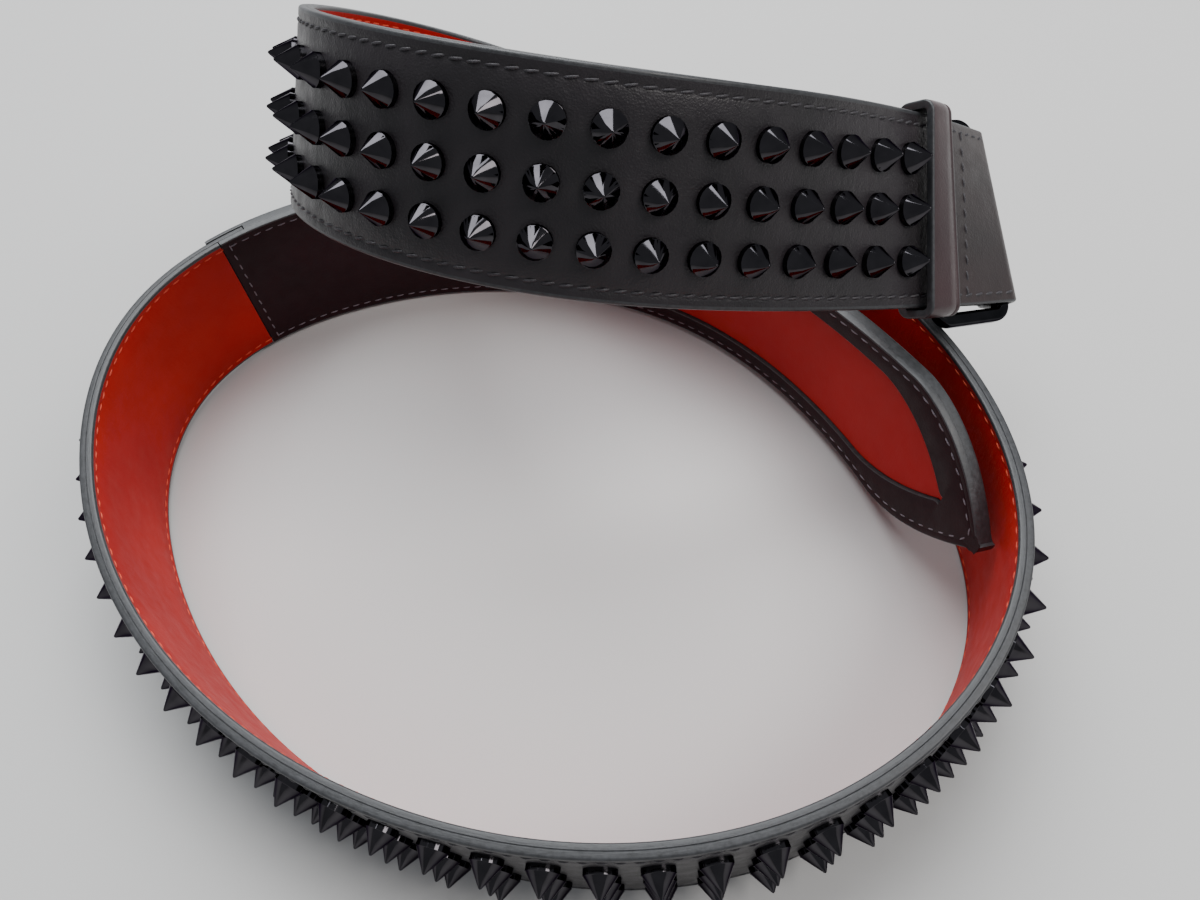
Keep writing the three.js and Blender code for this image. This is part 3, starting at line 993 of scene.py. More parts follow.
def stitch_tree() -> GeometryTree:
    """Builds the tree that lays stitches of bent thread along the lines of its guide."""
    tree = GeometryTree("stitches")
    for name in ("Pitch", "Length", "Thickness", "Rise", "Slant", "Unevenness"):
        tree.socket(name, "NodeSocketFloat")
    tree.socket("Seed", "NodeSocketInt")
    tree.socket("Thread", "NodeSocketMaterial")
    given = tree.inputs.outputs
    curve = tree.node("GeometryNodeMeshToCurve")
    tree.link(given["Geometry"], curve.inputs[0])
    spaced = tree.node("GeometryNodeResampleCurve")
    spaced.mode = "LENGTH"
    tree.link(curve.outputs[0], spaced.inputs["Curve"])
    tree.link(given["Pitch"], spaced.inputs["Length"])
    arc = tree.node("GeometryNodeCurveQuadraticBezier")
    arc.inputs["Resolution"].default_value = 6
    half = tree.math("MULTIPLY", given["Length"], 0.5)
    sunk = tree.math("MULTIPLY", given["Thickness"], -0.8)
    for name, x, z in (
        ("Start", tree.math("MULTIPLY", half, -1), sunk),
        ("Middle", 0.0, tree.math("MULTIPLY", given["Rise"], 2)),
        ("End", half, sunk),
    ):
        spot = tree.node("ShaderNodeCombineXYZ")
        tree.feed(spot.inputs["X"], x)
        tree.link(z, spot.inputs["Z"])
        tree.link(spot.outputs[0], arc.inputs[name])
    round_ = tree.node("GeometryNodeCurvePrimitiveCircle")
    round_.inputs["Resolution"].default_value = 7
    tree.link(tree.math("MULTIPLY", given["Thickness"], 0.5), round_.inputs["Radius"])
    thread = tree.node("GeometryNodeCurveToMesh")
    tree.link(arc.outputs[0], thread.inputs["Curve"])
    tree.link(round_.outputs[0], thread.inputs["Profile Curve"])
    thread.inputs["Fill Caps"].default_value = True
    tangent = tree.node("GeometryNodeInputTangent")
    shake = tree.node("FunctionNodeRandomValue", data_type="FLOAT")
    tree.link(tree.math("MULTIPLY", given["Unevenness"], -1), shake.inputs[2])
    tree.link(given["Unevenness"], shake.inputs[3])
    tree.link(given["Seed"], shake.inputs["Seed"])
    slant = tree.node("ShaderNodeCombineXYZ")
    tree.link(tree.math("ADD", given["Slant"], shake.outputs[1]), slant.inputs["Z"])
    put = tree.node("GeometryNodeInstanceOnPoints")
    tree.link(spaced.outputs[0], put.inputs["Points"])
    tree.link(thread.outputs[0], put.inputs["Instance"])
    rotation = tree.facing(tree.attribute("out"), tangent.outputs[0])
    tree.link(tree.turned(rotation, slant.outputs[0]), put.inputs["Rotation"])
    finish(tree, put.outputs[0], given["Thread"])
    return tree


def finish(tree: GeometryTree, instances: bpy.types.NodeSocket, material: bpy.types.NodeSocket) -> None:
    """Ends a tree: instances made real, and their material set.

    Args:
        tree: the tree to end.
        instances: its instances.
        material: its material input.
    """
    real = tree.node("GeometryNodeRealizeInstances")
    paint = tree.node("GeometryNodeSetMaterial")
    tree.link(instances, real.inputs[0])
    tree.link(real.outputs[0], paint.inputs["Geometry"])
    tree.link(material, paint.inputs["Material"])
    tree.link(paint.outputs[0], tree.outputs.inputs[0])


def guide_mesh(name: str, lines: Sequence[Sequence[Spot]], side: float, joined: bool) -> bpy.types.Mesh:
    """Makes the guide for studs or stitches on the bent belt.

    Args:
        name: the mesh's name.
        lines: lines of flat points.
        side: 1 where the guide is on the outer side, -1 on the inner side.
        joined: whether the points of a line are joined.

    Returns:
        A mesh with directions along and out on its points.
    """
    flat = np.array([p for line in lines for p in line], dtype=float)
    edges, start = [], 0
    for line in lines:
        if joined:
            edges += [(start + i, start + i + 1) for i in range(len(line) - 1)]
        start += len(line)
    _, along, _, out = BELT.frames(flat[:, 0])
    mesh = bpy.data.meshes.new(name)
    mesh.from_pydata(BELT.bend(flat).tolist(), edges, [])
    for key, vectors in (("along", along), ("out", out * side)):
        layer = mesh.attributes.new(key, "FLOAT_VECTOR", "POINT")
        layer.data.foreach_set("vector", vectors.astype(np.float32).ravel())
    return mesh


@dataclass
class Sewing:
    """One thread's stitches on one side of the belt, in millimetres."""

    GUIDE_STEP = 2.0

    name: str
    tree: GeometryTree
    thread: bpy.types.Material
    side: float = 1.0
    pitch: float = 3.3
    stitch: float = 2.9
    thickness: float = 0.6
    rise: float = 0.32
    slant: float = 10.0
    seed: int = 3
    lean: float = 3.0
    lines: list[list[Spot]] = field(default_factory=list)

    def along(self, start: float, end: float, v: float, h: float) -> None:
        """Adds a line along the belt, from start to end, at v across and h high."""
        self.lines.append([(u, v, h) for u in even(start, end, self.GUIDE_STEP)])

    def across(self, u: float, low: float, high: float, h: float, skew: float = 0.0) -> None:
        """Adds a line across the belt at u, from low to high, moved along by skew at its top."""
        places = even(low, high, self.GUIDE_STEP)
        self.lines.append([(u + skew * (v - low) / (high - low), v, h) for v in places])

    def build(self) -> bpy.types.Object:
        """Lays the stitches and returns them as one piece."""
        guide = guide_mesh(self.name, self.lines, self.side, True)
        values = {
            "Pitch": self.pitch * MM,
            "Length": self.stitch * MM,
            "Thickness": self.thickness * MM,
            "Rise": self.rise * MM,
            "Slant": math.radians(self.slant),
            "Unevenness": math.radians(self.lean),
            "Seed": self.seed,
            "Thread": self.thread,
        }
        return self.tree.apply(self.name, guide, values, 60.0)


# Sub-assemblies


@dataclass
class Part:
    """What every sub-assembly shares: the finishes and the two repeating trees."""

    finishes: Finishes
    studs: GeometryTree
    stitches: GeometryTree

    def settle(self, piece: bpy.types.Object, slot: str, *nodes: str) -> bpy.types.Object:
        """Lets a piece ride on the belt.

        Args:
            piece: the piece.
            slot: its material slot; not used.
            *nodes: the CAD nodes that it stands for, if any.

        Returns:
            The piece.
        """
        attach(piece, BODY)
        if nodes:
            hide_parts(*nodes)
        log.info("%s: %d faces", piece.name, len(piece.data.polygons))
        return piece

    def sewing(self, name: str, thread: bpy.types.Material, **sizes: float) -> Sewing:
        """Starts a sewing with this part's stitch tree."""
        return Sewing(name, self.stitches, thread, **sizes)


@dataclass
class StuddedStrap(Part):
    """The studded strap: face leather, its studs, red lining and seams."""

    width: float = 2 * STRAP_HALF
    face_bottom: float = -1.62
    bottom: float = STRAP_BOTTOM
    start: float = 26.3
    end: float = 812.0
    lining_start: float = 16.3
    lining_end: float = 804.5
    pitch: float = 10.3
    first_column: float = 34.0
    columns: int = 74
    rows: int = 3
    stud_radius: float = 3.2
    stud_collar: float = 1.3
    stud_height: float = 5.6
    seam: float = 2.6
    corner: float = 0.55
    lining_seam: float = 2.0
    lining_corner: float = 0.45
    bevel: float = 0.12
    lean: float = 0.8
    sides: int = 20

    def face_section(self) -> Section:
        """Section of the face leather: rounded painted edges and a shallow groove per seam."""
        half = self.width / 2
        section = Section()
        groove = half - self.seam
        shallow, wide = 0.45, 0.9
        side = [
            (-half + self.corner + 0.3, 0.0),
            (-groove - wide, 0.0),
            (-groove - shallow, -0.12),
            (-groove, -0.2),
            (-groove + shallow, -0.1),
            (-groove + wide, 0.04),
            (-13.0, 0.0),
            (-8.0, 0.0),
        ]
        points = side + [(0.0, 0.0)] + [(-v, h) for v, h in reversed(side)]
        for v, h in points[:-1]:
            section.add(v, h, Zone.FACE)
        section.add(*points[-1], Zone.EDGE)
        section.round(half - self.corner, -self.corner, self.corner, 0)
        section.add(half, self.face_bottom + self.bevel, Zone.EDGE)
        section.add(half - self.bevel, self.face_bottom, Zone.BACK)
        section.add(-half + self.bevel, self.face_bottom, Zone.EDGE)
        section.add(-half, self.face_bottom + self.bevel, Zone.EDGE)
        section.round(-half + self.corner, -self.corner, self.corner, 90)
        return section

    def lining_section(self) -> Section:
        """Section of the lining: painted edges, red inner side."""
        half, top, low = self.width / 2, self.face_bottom, self.bottom
        corner = self.lining_corner
        section = Section()
        section.add(-half + self.bevel, top, Zone.BACK)
        section.add(half - self.bevel, top, Zone.EDGE)
        section.add(half, top - self.bevel, Zone.EDGE)
        section.round(half - corner, low + corner, corner, 270)
        groove = half - self.lining_seam
        edge = [(half - 0.8, 0.0), (groove + 0.5, 0.0), (groove, 0.14), (groove - 0.5, 0.0)]
        side = edge + [(12.0, 0.0), (4.0, 0.0)]
        points = side + [(-v, h) for v, h in reversed(side)]
        for v, h in points[:-1]:
            section.add(v, low + h, Zone.FACE)
        section.add(-half + 0.8, low, Zone.EDGE)
        section.round(-half + corner, low + corner, corner, 180)
        section.add(-half, top - self.bevel, Zone.EDGE)
        return section

    def layer(
        self, name: str, section: Section, start: float, end: float, leather: bpy.types.Material
    ) -> bpy.types.Object:
        """Sweeps a section along the belt.

        Args:
            name: the piece's name.
            section: its section across the belt.
            start: where it starts.
            end: where it ends.
            leather: the finish of its good side.

        Returns:
            The piece.
        """
        places = even(start, end, RING_STEP)
        rings = [[(u, v, h) for v, h in section.points] for u in places]
        materials = (leather, self.finishes.edge, self.finishes.face)
        return sweep(name, rings, section.zones, materials, BELT.bend)

    def stud_field(self) -> bpy.types.Object:
        """Sets all studs, slightly sunk into the leather, and returns them as one piece."""
        rows = [(row - (self.rows - 1) / 2) * self.pitch for row in range(self.rows)]
        columns = [self.first_column + column * self.pitch for column in range(self.columns)]
        points = [[(u, v, -0.05) for v in rows] for u in columns]
        values = {
            "Radius": self.stud_radius * MM,
            "Collar": self.stud_collar * MM,
            "Height": self.stud_height * MM,
            "Lean": math.radians(self.lean),
            "Sides": self.sides,
            "Seed": 7,
            "Metal": self.finishes.stud,
        }
        return self.studs.apply("studs", guide_mesh("studs", points, 1.0, False), values, 30.0)

    def build(self) -> None:
        """Builds the strap's pieces."""
        section = self.face_section()
        face = self.layer("face_strap", section, self.start, self.end, self.finishes.face)
        nodes = ("studded_face_upper", "studded_face_right", "studded_face_left")
        self.settle(face, "face_leather", *nodes)
        self.settle(self.stud_field(), "face_leather")
        lining = self.layer(
            "lining", self.lining_section(), self.lining_start, self.lining_end, self.finishes.red
        )
        self.settle(lining, "red_leather", "red_lining_upper", "red_lining_lower")
        self.sew()

    def sew(self) -> None:
        """Sews along both edges, outside in black and inside in red."""
        row = self.width / 2 - self.seam
        for v, name, seed in ((row, "face_stitches_top", 3), (-row, "face_stitches_bottom", 4)):
            sewing = self.sewing(name, self.finishes.black_thread, seed=seed)
            sewing.along(self.start + 1.5, self.end - 1.5, v, -0.12)
            self.settle(sewing.build(), "face_leather")
        row = self.width / 2 - self.lining_seam
        thin = {"side": -1.0, "stitch": 2.5, "thickness": 0.42, "rise": 0.2, "slant": 3.0}
        for v, name, seed in ((row, "lining_stitches_top", 5), (-row, "lining_stitches_bottom", 6)):
            sewing = self.sewing(name, self.finishes.red_thread, seed=seed, **thin)
            sewing.along(self.lining_start + 2, self.lining_end - 1, v, self.bottom + 0.1)
            self.settle(sewing.build(), "red_leather")


@dataclass
class Billet(Part):
    """The belt's bare pointed end: outer leather, dark lining with its window, and the inlay."""

    start: float = 802.0
    lap_end: float = 812.3
    tip: float = BELT_LENGTH
    half: float = STRAP_HALF
    tip_length: float = 34.0
    sharpness: float = 1.7
    blunt: float = 0.8
    rise: float = 1.5
    bottom: float = STRAP_BOTTOM
    lining_top: float = -1.2
    inlay_start: float = 905.0
    border: float = 6.0
    point_border: float = 14.0
    inlay_depth: float = 0.95
    lining_start: float = 804.8
    recess_gap: float = 0.25
    seam: float = 2.6
    lining_seam: float = 2.0
    edge_round: float = 0.9
    lining_corner: float = 0.45
    point_step: float = 0.8

    def half_width(self, u: float) -> float:
        """Gives the pointed end's half width at a place."""
        share = min(max((u - self.tip + self.tip_length) / self.tip_length, 0.0), 1.0)
        return max(self.half * (1 - share**self.sharpness), self.blunt)

    def window_half(self, u: float, grow: float = 0.0) -> float:
        """Gives the half width of the inlay, or of the window in the lining.

        Args:
            u: place along the belt.
            grow: how much wider than the inlay it is.

        Returns:
            The half width.
        """
        end = self.tip - self.point_border
        point = self.tip_length - self.border
        share = min(max((u - end + point) / point, 0.0), 1.0)
        return max((self.half - self.border) * (1 - share**self.sharpness), self.blunt) + grow

    def places(self, start: float, end: float) -> list[float]:
        """Spaces the rings, close together in the point.

        Args:
            start: place of the first ring.
            end: place of the last ring.

        Returns:
            The places.
        """
        bend = max(start, min(self.tip - self.tip_length, end))
        places = even(start, bend, RING_STEP) if bend > start else [start]
        if end > bend:
            places += even(bend, end, self.point_step)[1:]
        return places

    def face_ring(self, u: float) -> list[Spot]:
        """Draws a ring of the outer leather: rounded edges, a groove for the seam, a soft swell.

        Args:
            u: place along the belt.

        Returns:
            The ring's points.
        """
        half = self.half_width(u)
        low = SEAM_JOINT if u < self.lap_end else self.lining_top + SEAM_JOINT
        corner = min(self.edge_round, half * 0.45)
        groove = max(half - self.seam, half * 0.4)
        spots = [-half + corner + 0.05, -groove - 0.35, -groove, -groove + 0.35, -groove * 0.5, 0.0]
        dips = [0.0, 0.0, -0.15, 0.0, 0.05, 0.08]
        side = list(zip(spots, dips))
        ring = [(v, self.rise + h) for v, h in side]
        ring += [(-v, self.rise + h) for v, h in reversed(side[:-1])]
        ring += reversed(rounded_corner(half - corner, self.rise - corner, corner, 0, 5))
        ring += [(half, low), (-half, low)]
        ring += reversed(rounded_corner(-half + corner, self.rise - corner, corner, 90, 5))
        return [(u, v, h) for v, h in ring]

    def face(self) -> bpy.types.Object:
        """Builds the outer leather, lapped over the studded strap at its start."""
        places = [self.start, self.start + 0.25, self.start + 0.7]
        places += even(self.start + RING_STEP, self.lap_end - SEAM_JOINT, RING_STEP)
        places += self.places(self.lap_end + SEAM_JOINT, self.tip)
        rings = []
        for u in places:
            drop = {places[0]: 0.5, places[1]: 0.14}.get(u, 0.0)  # the lap's end is rounded over
            rings.append([(a, v, h - drop if h > 1.0 else h) for a, v, h in self.face_ring(u)])
        zones = [Zone.FACE] * 10 + [Zone.EDGE] * 7 + [Zone.BACK] + [Zone.EDGE] * 7
        materials = (self.finishes.face, self.finishes.edge, self.finishes.face)
        return sweep("billet_outer", rings, zones, materials, BELT.bend)

    def lining_ring(self, u: float, inside: bool) -> list[Spot]:
        """Draws a ring of the dark lining.

        Args:
            u: place along the belt.
            inside: whether the ring crosses the window, and so has its floor.

        Returns:
            The ring's points.
        """
        half = self.half_width(u)
        window = min(self.window_half(u, self.recess_gap), half - 0.3)
        top = self.lining_top if u > self.lap_end else StuddedStrap.face_bottom
        low = self.bottom
        floor = self.lining_top - SEAM_JOINT if inside else low
        soft = 0.25 if inside else 0.0
        corner = min(self.lining_corner, half * 0.3)
        seam = max(half - self.lining_seam, window + 0.6)
        side = [
            (half, top),
            (half, low + corner),
            (half - corner * 0.3, low + corner * 0.3),
            (half - corner, low),
            (seam + 0.4, low),
            (seam, low + 0.12),
            (seam - 0.4, low),
            (window + soft, low),
            (window, low + soft * 0.6),
            (window, floor),
        ]
        return [(u, v, h) for v, h in side] + [(u, -v, h) for v, h in reversed(side)]

    def lining(self) -> bpy.types.Object:
        """Builds the dark lining as one skin with a recess for the inlay."""
        wall = 0.001  # the recess's end walls are this far from upright
        window_start = self.inlay_start - self.recess_gap
        window_end = self.tip - self.point_border + self.recess_gap
        stretches = (
            (self.lining_start, self.lap_end - SEAM_JOINT, False),
            (self.lap_end + SEAM_JOINT, window_start, False),
            (window_start + wall, window_end, True),
            (window_end + wall, self.tip, False),
        )
        rings = [
            self.lining_ring(u, inside)
            for start, end, inside in stretches
            for u in self.places(start, end)
        ]
        zones = [Zone.EDGE] * 3 + [Zone.FACE] * 4 + [Zone.EDGE] * 2 + [Zone.BACK]
        zones += [Zone.EDGE] * 2 + [Zone.FACE] * 4 + [Zone.EDGE] * 3 + [Zone.BACK]
        finishes = self.finishes
        materials = (finishes.burgundy, finishes.edge, finishes.burgundy)
        return sweep("billet_inner", rings, zones, materials, BELT.bend)

    def inlay(self) -> bpy.types.Object:
        """Builds the bare red leaf in the window."""
        end = self.tip - self.point_border
        low = self.lining_top - self.inlay_depth
        rings = []
        for u in self.places(self.inlay_start, end):
            half = self.window_half(u)
            edge = [(half, self.lining_top), (half, low + 0.1), (half - 0.1, low)]
            side = edge + [(half * 0.5, low - 0.03)]
            ring = side + [(0.0, low - 0.04)] + [(-v, h) for v, h in reversed(side)]
            rings.append([(u, v, h) for v, h in ring])
        zones = [Zone.EDGE] * 2 + [Zone.FACE] * 4 + [Zone.EDGE] * 2 + [Zone.BACK]
        return sweep("inlay", rings, zones, (self.finishes.inlay,) * len(Zone), BELT.bend)

    def outline(self, inset: float, h: float, start: float) -> list[Spot]:
        """Follows the pointed end's outline from its top edge round to its bottom edge.

        Args:
            inset: how far inside the outline the line runs.
            h: its height.
            start: where it starts and ends along the belt.

        Returns:
            The line's points.
        """
        places = self.places(start, self.tip - inset * 1.6)
        rows = [(u, max(self.half_width(u) - inset * self.spread(u), 0.0), h) for u in places]
        return rows + [(u, -v, h) for u, v, h in reversed(rows[:-1])]

    def spread(self, u: float) -> float:
        """Tells how much wider a border is across the belt where its outline slopes.

        Args:
            u: place along the belt.

        Returns:
            The factor, 1 where the edge runs straight.
        """
        step = 0.5
        slope = (self.half_width(u - step) - self.half_width(u + step)) / (2 * step)
        return math.sqrt(1 + slope * slope)

    def build(self) -> None:
        """Builds the billet's pieces and sews them."""
        self.settle(self.face(), "face_leather", "billet_face")
        self.settle(self.lining(), "dark_leather", "billet_lining")
        self.settle(self.inlay(), "red_leather", "tip_inlay")
        outer = self.sewing("billet_stitches_outer", self.finishes.black_thread, seed=8)
        outer.lines.append(self.outline(self.seam, self.rise - 0.08, self.start + 3))
        outer.across(self.start + 2.4, -16.5, 16.5, self.rise - 0.02)
        self.settle(outer.build(), "face_leather")
        thin = {"side": -1.0, "stitch": 2.5, "thickness": 0.4, "rise": 0.18, "slant": 4.0}
        inner = self.sewing("billet_stitches_inner", self.finishes.pale_thread, seed=9, **thin)
        inner.lines.append(self.outline(self.lining_seam, self.bottom + 0.08, self.lining_start + 3))
        inner.across(self.lining_start + 2.0, -17.5, 17.5, self.bottom + 0.02)
        self.settle(inner.build(), "dark_leather")


@dataclass
class Keeper(Part):
    """The fixed leather loop next to the buckle."""

    start: float = 22.0
    width: float = 8.5
    wall: float = 1.7
    room: float = 1.9
    corner: float = 2.6
    clearance: float = 0.5
    half: float = STRAP_HALF
    bottom: float = STRAP_BOTTOM
    edge: float = 0.45
    longest: float = 2.5

    def path(self) -> list[Facing]:
        """Gives the loop's inner line: points across and high, with their outward directions."""
        side = self.half + self.clearance
        low = self.bottom - self.clearance
        line = rounded_loop(-side, side, low, self.room, self.corner - self.wall)
        dense = []
        for a, b in zip(line, line[1:] + line[:1]):
            parts = max(1, round(math.dist(a[:2], b[:2]) / self.longest))
            for i in range(parts):
                t = i / parts
                dense.append(tuple(p * (1 - t) + q * t for p, q in zip(a, b)))
        return dense

    def section(self) -> Section:
        """Draws the loop's section: along the belt, and outwards through the wall.

        Returns:
            The section, with a swell in its middle and a crease near its first edge.
        """
        width, wall, edge = self.width, self.wall, self.edge
        section = Section()
        section.add(0.3, 0.0, Zone.BACK)
        section.add(width - 0.3, 0.0, Zone.EDGE)
        for x, y in rounded_corner(width - edge, wall - edge, edge, 0)[:-1]:
            section.add(x, y, Zone.EDGE)
        section.add(width - 0.5, wall, Zone.FACE)
        swell = ((width * 0.7, 0.06), (width * 0.4, 0.08))
        crease = ((1.55, 0.0), (1.3, -0.14), (1.05, 0.0))
        for x, y in swell + crease:
            section.add(x, wall + y, Zone.FACE)
        section.add(0.5, wall, Zone.EDGE)
        for x, y in rounded_corner(edge, wall - edge, edge, 90)[1:]:
            section.add(x, y, Zone.EDGE)
        section.add(0.0, 0.3, Zone.EDGE)
        return section

    def build(self) -> None:
        """Builds the loop."""
        section = self.section()
        rings = [
            [(self.start + x, v + nv * y, h + nh * y) for x, y in section.points]
            for v, h, nv, nh in self.path()
        ]
        finishes = self.finishes
        # finishes.loop holds the keeper's brown tone with a painted pink reflection and painted light.
        materials = (finishes.loop, finishes.edge, finishes.face)
        piece = sweep("loop", rings, section.zones, materials, BELT.bend, sweep_closed=True)
        self.settle(piece, "face_leather", "keeper")


@dataclass
class BuckleTab(Part):
    """The leather tab folded round the buckle's bar and sewn behind itself."""

    half: float = STRAP_HALF
    end: float = 26.0
    back_end: float = 16.0
    sewn: float = 10.0
    thickness: float = TAB_THICKNESS
    fold: float = 205.0  # degrees round the bar
    fold_steps: int = 16
    layer_gap: float = 0.12
    corner: float = 0.45
    seam: float = 2.2

    def centre_line(self) -> list[Facing]:
        """Draws the middle line of the folded leather, from its outer end round the bar.

        Returns:
            Points along and high, each with the direction to the leather's outer side.
        """
        middle = self.thickness / 2
        radius = BAR_HALF + TAB_CLEARANCE + middle
        line = [(u, -middle, 0.0, 1.0) for u in even(self.end, 0.5, RING_STEP)]
        for i in range(self.fold_steps + 1):
            angle = math.radians(90 + self.fold * i / self.fold_steps)
            x, y = math.cos(angle), math.sin(angle)
            line.append((radius * x, -BAR_DEPTH + radius * y, x, y))
        sewn = -self.thickness - self.layer_gap - middle
        last = line[-1]
        for u in even(2.5, self.back_end, RING_STEP):
            share = min(max((u - last[0]) / (self.sewn - last[0]), 0.0), 1.0)
            share = share * share * (3 - 2 * share)  # eases in and out
            line.append((u, last[1] * (1 - share) + sewn * share, 0.0, -1.0))
        return line

    def ring(self, v: float, inset: float) -> list[Spot]:
        """Draws a ring of the folded leather.

        Args:
            v: place across the belt.
            inset: how much thinner it is on either side.

        Returns:
            The ring's points.
        """
        line = self.centre_line()
        reach = self.thickness / 2 - inset
        outer = [(x + nx * reach, v, y + ny * reach) for x, y, nx, ny in line]
        inner = [(x - nx * reach, v, y - ny * reach) for x, y, nx, ny in line]
        return outer + inner[::-1]

    def build(self) -> None:
        """Builds the tab and sews it."""
        half, corner = self.half, self.corner
        steps = [(half, corner), (half - 0.12, corner * 0.45), (half - corner, 0.0)]
        places = [(-v, i) for v, i in steps]
        places += [(v, 0.0) for v in even(-half + 1.0, half - 1.0, 1.6)]
        places += [(v, i) for v, i in reversed(steps)]
        rings = [self.ring(v, inset) for v, inset in places]
        count = len(rings[0]) // 2
        zones = [Zone.FACE] * (count - 1) + [Zone.EDGE] + [Zone.BACK] * (count - 1) + [Zone.EDGE]
        finishes = self.finishes
        materials = (finishes.tab, finishes.edge, finishes.tab)
        piece = sweep("tab", rings, zones, materials, BELT.bend)
        self.paint_ends(piece, len(rings))
        self.settle(piece, "face_leather", "buckle_tab")
        sewing = self.sewing("tab_stitches", finishes.black_thread, seed=12)
        row, end, height = self.half - self.seam, self.end - 5.0, -0.06
        sewing.along(1.0, end, row, height)
        sewing.along(1.0, end, -row, height)
        sewing.across(15.0, -self.half + 3, self.half - 3, height, skew=-4.0)
        self.settle(sewing.build(), "face_leather")

    def paint_ends(self, piece: bpy.types.Object, rings: int) -> None:
        """Gives the strips next to the tab's two edges the edge paint.

        Args:
            piece: the tab.
            rings: how many rings it was swept from.
        """
        size = (len(piece.data.polygons) - 2) // (rings - 1)
        for face in piece.data.polygons:
            row = face.index // size
            if row < 2 or row >= rings - 3:
                face.material_index = Zone.EDGE.value


@dataclass
class Buckle(Part):
    """The buckle's frame, folded back behind the strap, and its prong."""

    side_clearance: float = 0.5
    length: float = 20.0
    rail: float = 3.2
    corner: float = 4.2
    bevel: float = 0.9
    tilt: float = 14.0
    prong_width: float = 4.0
    prong_thickness: float = 2.0
    prong_clearance: float = 0.45
    prong_round: float = 0.5
    grip_start: float = 198.0

    @property
    def width(self) -> float:
        """The frame's width across the belt."""
        return 2 * (STRAP_HALF + self.rail + self.side_clearance)

    def place(self, local: np.ndarray) -> np.ndarray:
        """Puts points drawn round the bar in space.

        Args:
            local: points along the frame, across it and through it, in millimetres.

        Returns:
            The points in metres.
        """
        middle, along, across, out = (Vector(a[0]) for a in BELT.frames(np.array([0.0])))
        basis = Matrix((along, -across, out)).transposed()
        lean = Matrix.Rotation(math.radians(self.tilt), 3, "Y")
        turn = np.array(basis @ lean)
        origin = np.array(middle - out * BAR_DEPTH)
        return (local @ turn.T + origin) * MM

    def frame_path(self) -> list[Facing]:
        """Gives the middle line of the rails, with outward directions in the frame's plane."""
        inset = self.rail / 2
        side = self.width / 2 - inset
        return rounded_loop(0.0, self.length - inset, -side, side, self.corner - inset)

    def frame(self) -> bpy.types.Object:
        """Builds the frame from one rounded section, swept round."""
        section = rounded_box(BAR_HALF, BAR_HALF, self.bevel, 5)
        path = self.frame_path()
        rings = [[(x + nx * a, y + ny * a, b) for a, b in section] for x, y, nx, ny in path]
        zones = [Zone.FACE] * len(section)
        materials = (self.finishes.metal,) * len(Zone)
        return sweep("frame_rails", rings, zones, materials, self.place, sweep_closed=True)

    def prong_path(self) -> list[Spot]:
        """Draws the middle line of the prong, from its grip on the bar to the frame's far rail.

        Returns:
            Points along and through the frame, each with its direction in degrees.
        """
        grip = BAR_HALF + self.prong_clearance + self.prong_thickness / 2
        line = []
        for i in range(QUARTER_STEPS + 1):
            angle = self.grip_start + (270 - self.grip_start) * i / QUARTER_STEPS
            turn = math.radians(angle)
            line.append((grip * math.cos(turn), grip * math.sin(turn), angle + 90))
        line += [(x, -grip, 360.0) for x in even(2.0, self.length - self.rail / 2, 2.0)]
        return line

    def prong(self) -> bpy.types.Object:
        """Builds the prong with rounded edges and a rounded tip."""
        wide, thick = self.prong_width / 2, self.prong_thickness / 2
        line = self.prong_path()
        tip = {len(line) - 1: 0.55, len(line) - 2: 0.85}
        rings = []
        for k, (x, z, angle) in enumerate(line):
            share = tip.get(k, 1.0)
            nx, nz = math.sin(math.radians(angle)), -math.cos(math.radians(angle))
            outline = rounded_box(wide * share, thick * share, self.prong_round, 3)
            rings.append([(x - nx * q, p, z - nz * q) for p, q in outline])
        zones = [Zone.FACE] * len(rings[0])
        materials = (self.finishes.metal,) * len(Zone)
        return sweep("prong_finger", rings, zones, materials, self.place)

    def build(self) -> None:
        """Builds the frame and the prong."""
        self.settle(self.frame(), "black_metal", "buckle_frame")
        self.settle(self.prong(), "black_metal", "prong")


# Studio


@dataclass(frozen=True)
class SoftLamp:
    """A soft square light: its place and aim in metres, its side, its power in watts, its colour."""

    name: str
    spot: Spot
    aim: Spot
    size: float
    power: float
    colour: Colour

    def hang(self) -> None:
        """Adds the light to the scene."""
        data = bpy.data.lights.new(self.name, "AREA")
        data.shape = "SQUARE"
        data.size = self.size
        data.energy = self.power
        data.color = self.colour
        lamp = bpy.data.objects.new(self.name, data)
        lamp.location = self.spot
        aim = Vector(self.aim) - Vector(self.spot)
        lamp.rotation_euler = aim.to_track_quat("-Z", "Y").to_euler()
        bpy.context.scene.collection.objects.link(lamp)


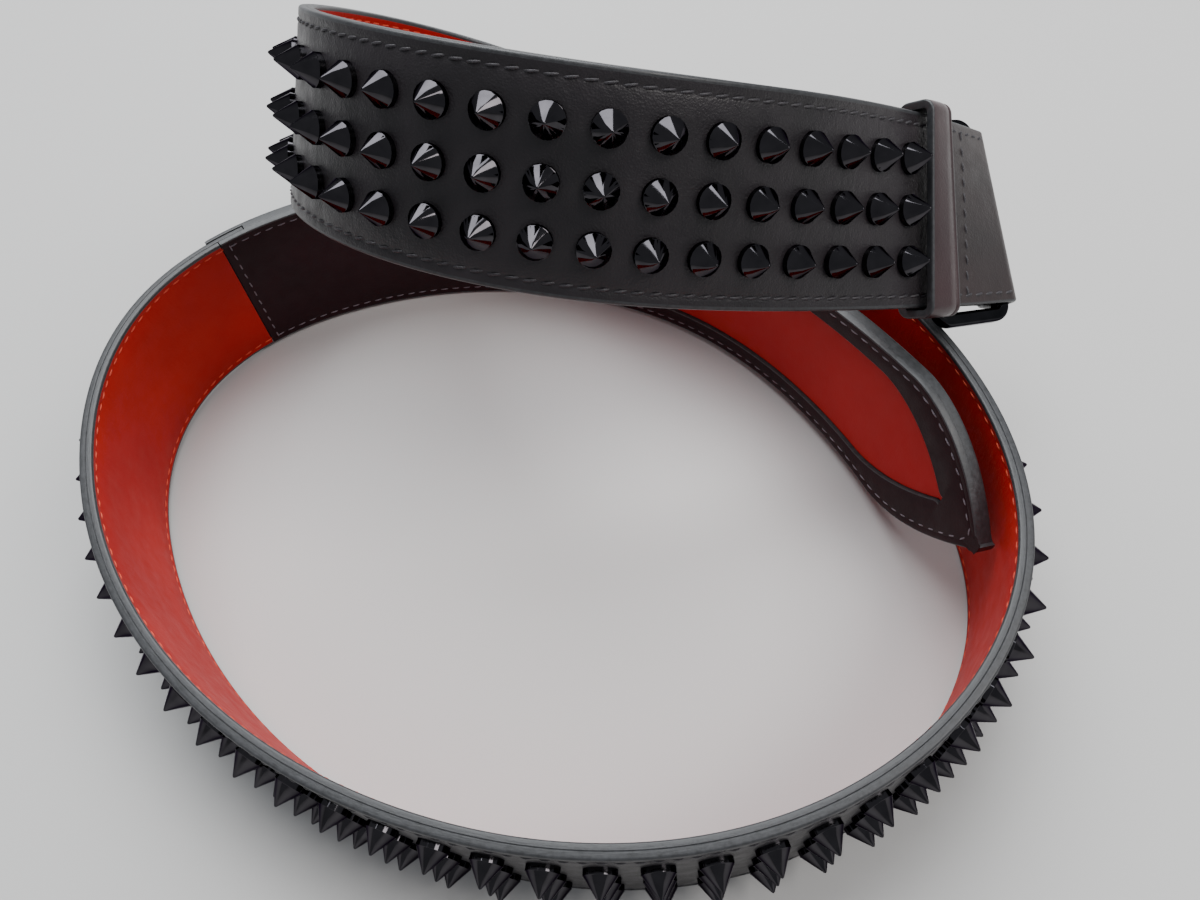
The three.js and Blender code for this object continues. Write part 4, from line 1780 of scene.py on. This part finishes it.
@dataclass
class Studio:
    """Floor, soft light and the camera at the photograph's view.

    The focal length is in the photograph's pixels, the elevation in degrees, roll and yaw in
    radians. Height, foot and front_height place the camera against the belt's front, in millimetres.
    """

    focal: float = 947.5
    elevation: float = 58.3
    roll: float = -0.1466
    height: float = 212.98
    foot: tuple[float, float] = (-10.931, 25.772)
    front_height: float = 20.297
    yaw: float = -0.1534

    sky: Colour = (0.9, 0.94, 1.0)
    sky_strength: float = 0.36
    floor_reach: float = 3.0
    lamps: tuple[SoftLamp, ...] = (
        SoftLamp("sky_panel", (-0.15, 0.75, 1.15), (0.0, 0.0, 0.05), 1.2, 34.0, (0.95, 0.98, 1.0)),
        SoftLamp("side_panel", (0.75, -0.1, 0.95), (0.0, 0.0, 0.04), 0.5, 7.0, (1.0, 0.97, 0.94)),
    )

    def floor(self) -> None:
        """Lays the floor."""
        mesh = bpy.data.meshes.new("floor")
        reach = self.floor_reach
        corners = [(x * reach, y * reach, 0.0) for x, y in ((-1, -1), (1, -1), (1, 1), (-1, 1))]
        mesh.from_pydata(corners, [], [(0, 1, 2, 3)])
        mesh.materials.append(PaleFloor().material())
        make_object("floor", mesh)

    def light(self) -> None:
        """Sets the soft sky and the lamps."""
        world = bpy.data.worlds.new("soft_sky")
        world.use_nodes = True
        background = world.node_tree.nodes["Background"]
        background.inputs["Color"].default_value = (*self.sky, 1.0)
        background.inputs["Strength"].default_value = self.sky_strength
        bpy.context.scene.world = world
        for lamp in self.lamps:
            lamp.hang()

    def camera(self) -> None:
        """Sets the camera where the photograph was taken."""
        data = bpy.data.cameras.new("photo_view")
        data.sensor_width = SENSOR
        data.sensor_fit = "HORIZONTAL"
        data.lens = self.focal * SENSOR / PHOTO_WIDTH
        data.clip_start = 0.01
        elevation = math.radians(self.elevation)
        ahead = Vector((0.0, math.cos(elevation), -math.sin(elevation)))
        upward = Vector((0.0, math.sin(elevation), math.cos(elevation)))
        aside = Vector((1.0, 0.0, 0.0))
        right = math.cos(self.roll) * aside + math.sin(self.roll) * upward
        up = -math.sin(self.roll) * aside + math.cos(self.roll) * upward
        turn = Matrix.Rotation(-self.yaw, 3, "Z")
        base = Vector((-self.foot[0], -self.foot[1], self.height - self.front_height + BELT.half_width))
        spot = (turn @ base + Vector(BELT.shift)) * MM
        pose = Matrix((turn @ right, turn @ up, turn @ -ahead)).transposed().to_4x4()
        pose.translation = spot
        camera = bpy.data.objects.new("photo_view", data)
        camera.matrix_world = pose
        bpy.context.scene.collection.objects.link(camera)
        bpy.context.scene.camera = camera

    def build(self) -> None:
        """Sets the whole stage."""
        self.floor()
        self.light()
        self.camera()


def main() -> None:
    """Builds the stage and dresses the belt."""
    logging.basicConfig(level=logging.INFO, format="%(name)s %(message)s", stream=sys.stdout)
    Studio().build()
    shared = (Finishes.make(), stud_tree(), stitch_tree())
    for kind in (StuddedStrap, Billet, Keeper, BuckleTab, Buckle):
        part = kind(*shared)
        part.build()
        log.info("%s is done", kind.__name__)


if __name__ == "__main__":
    main()
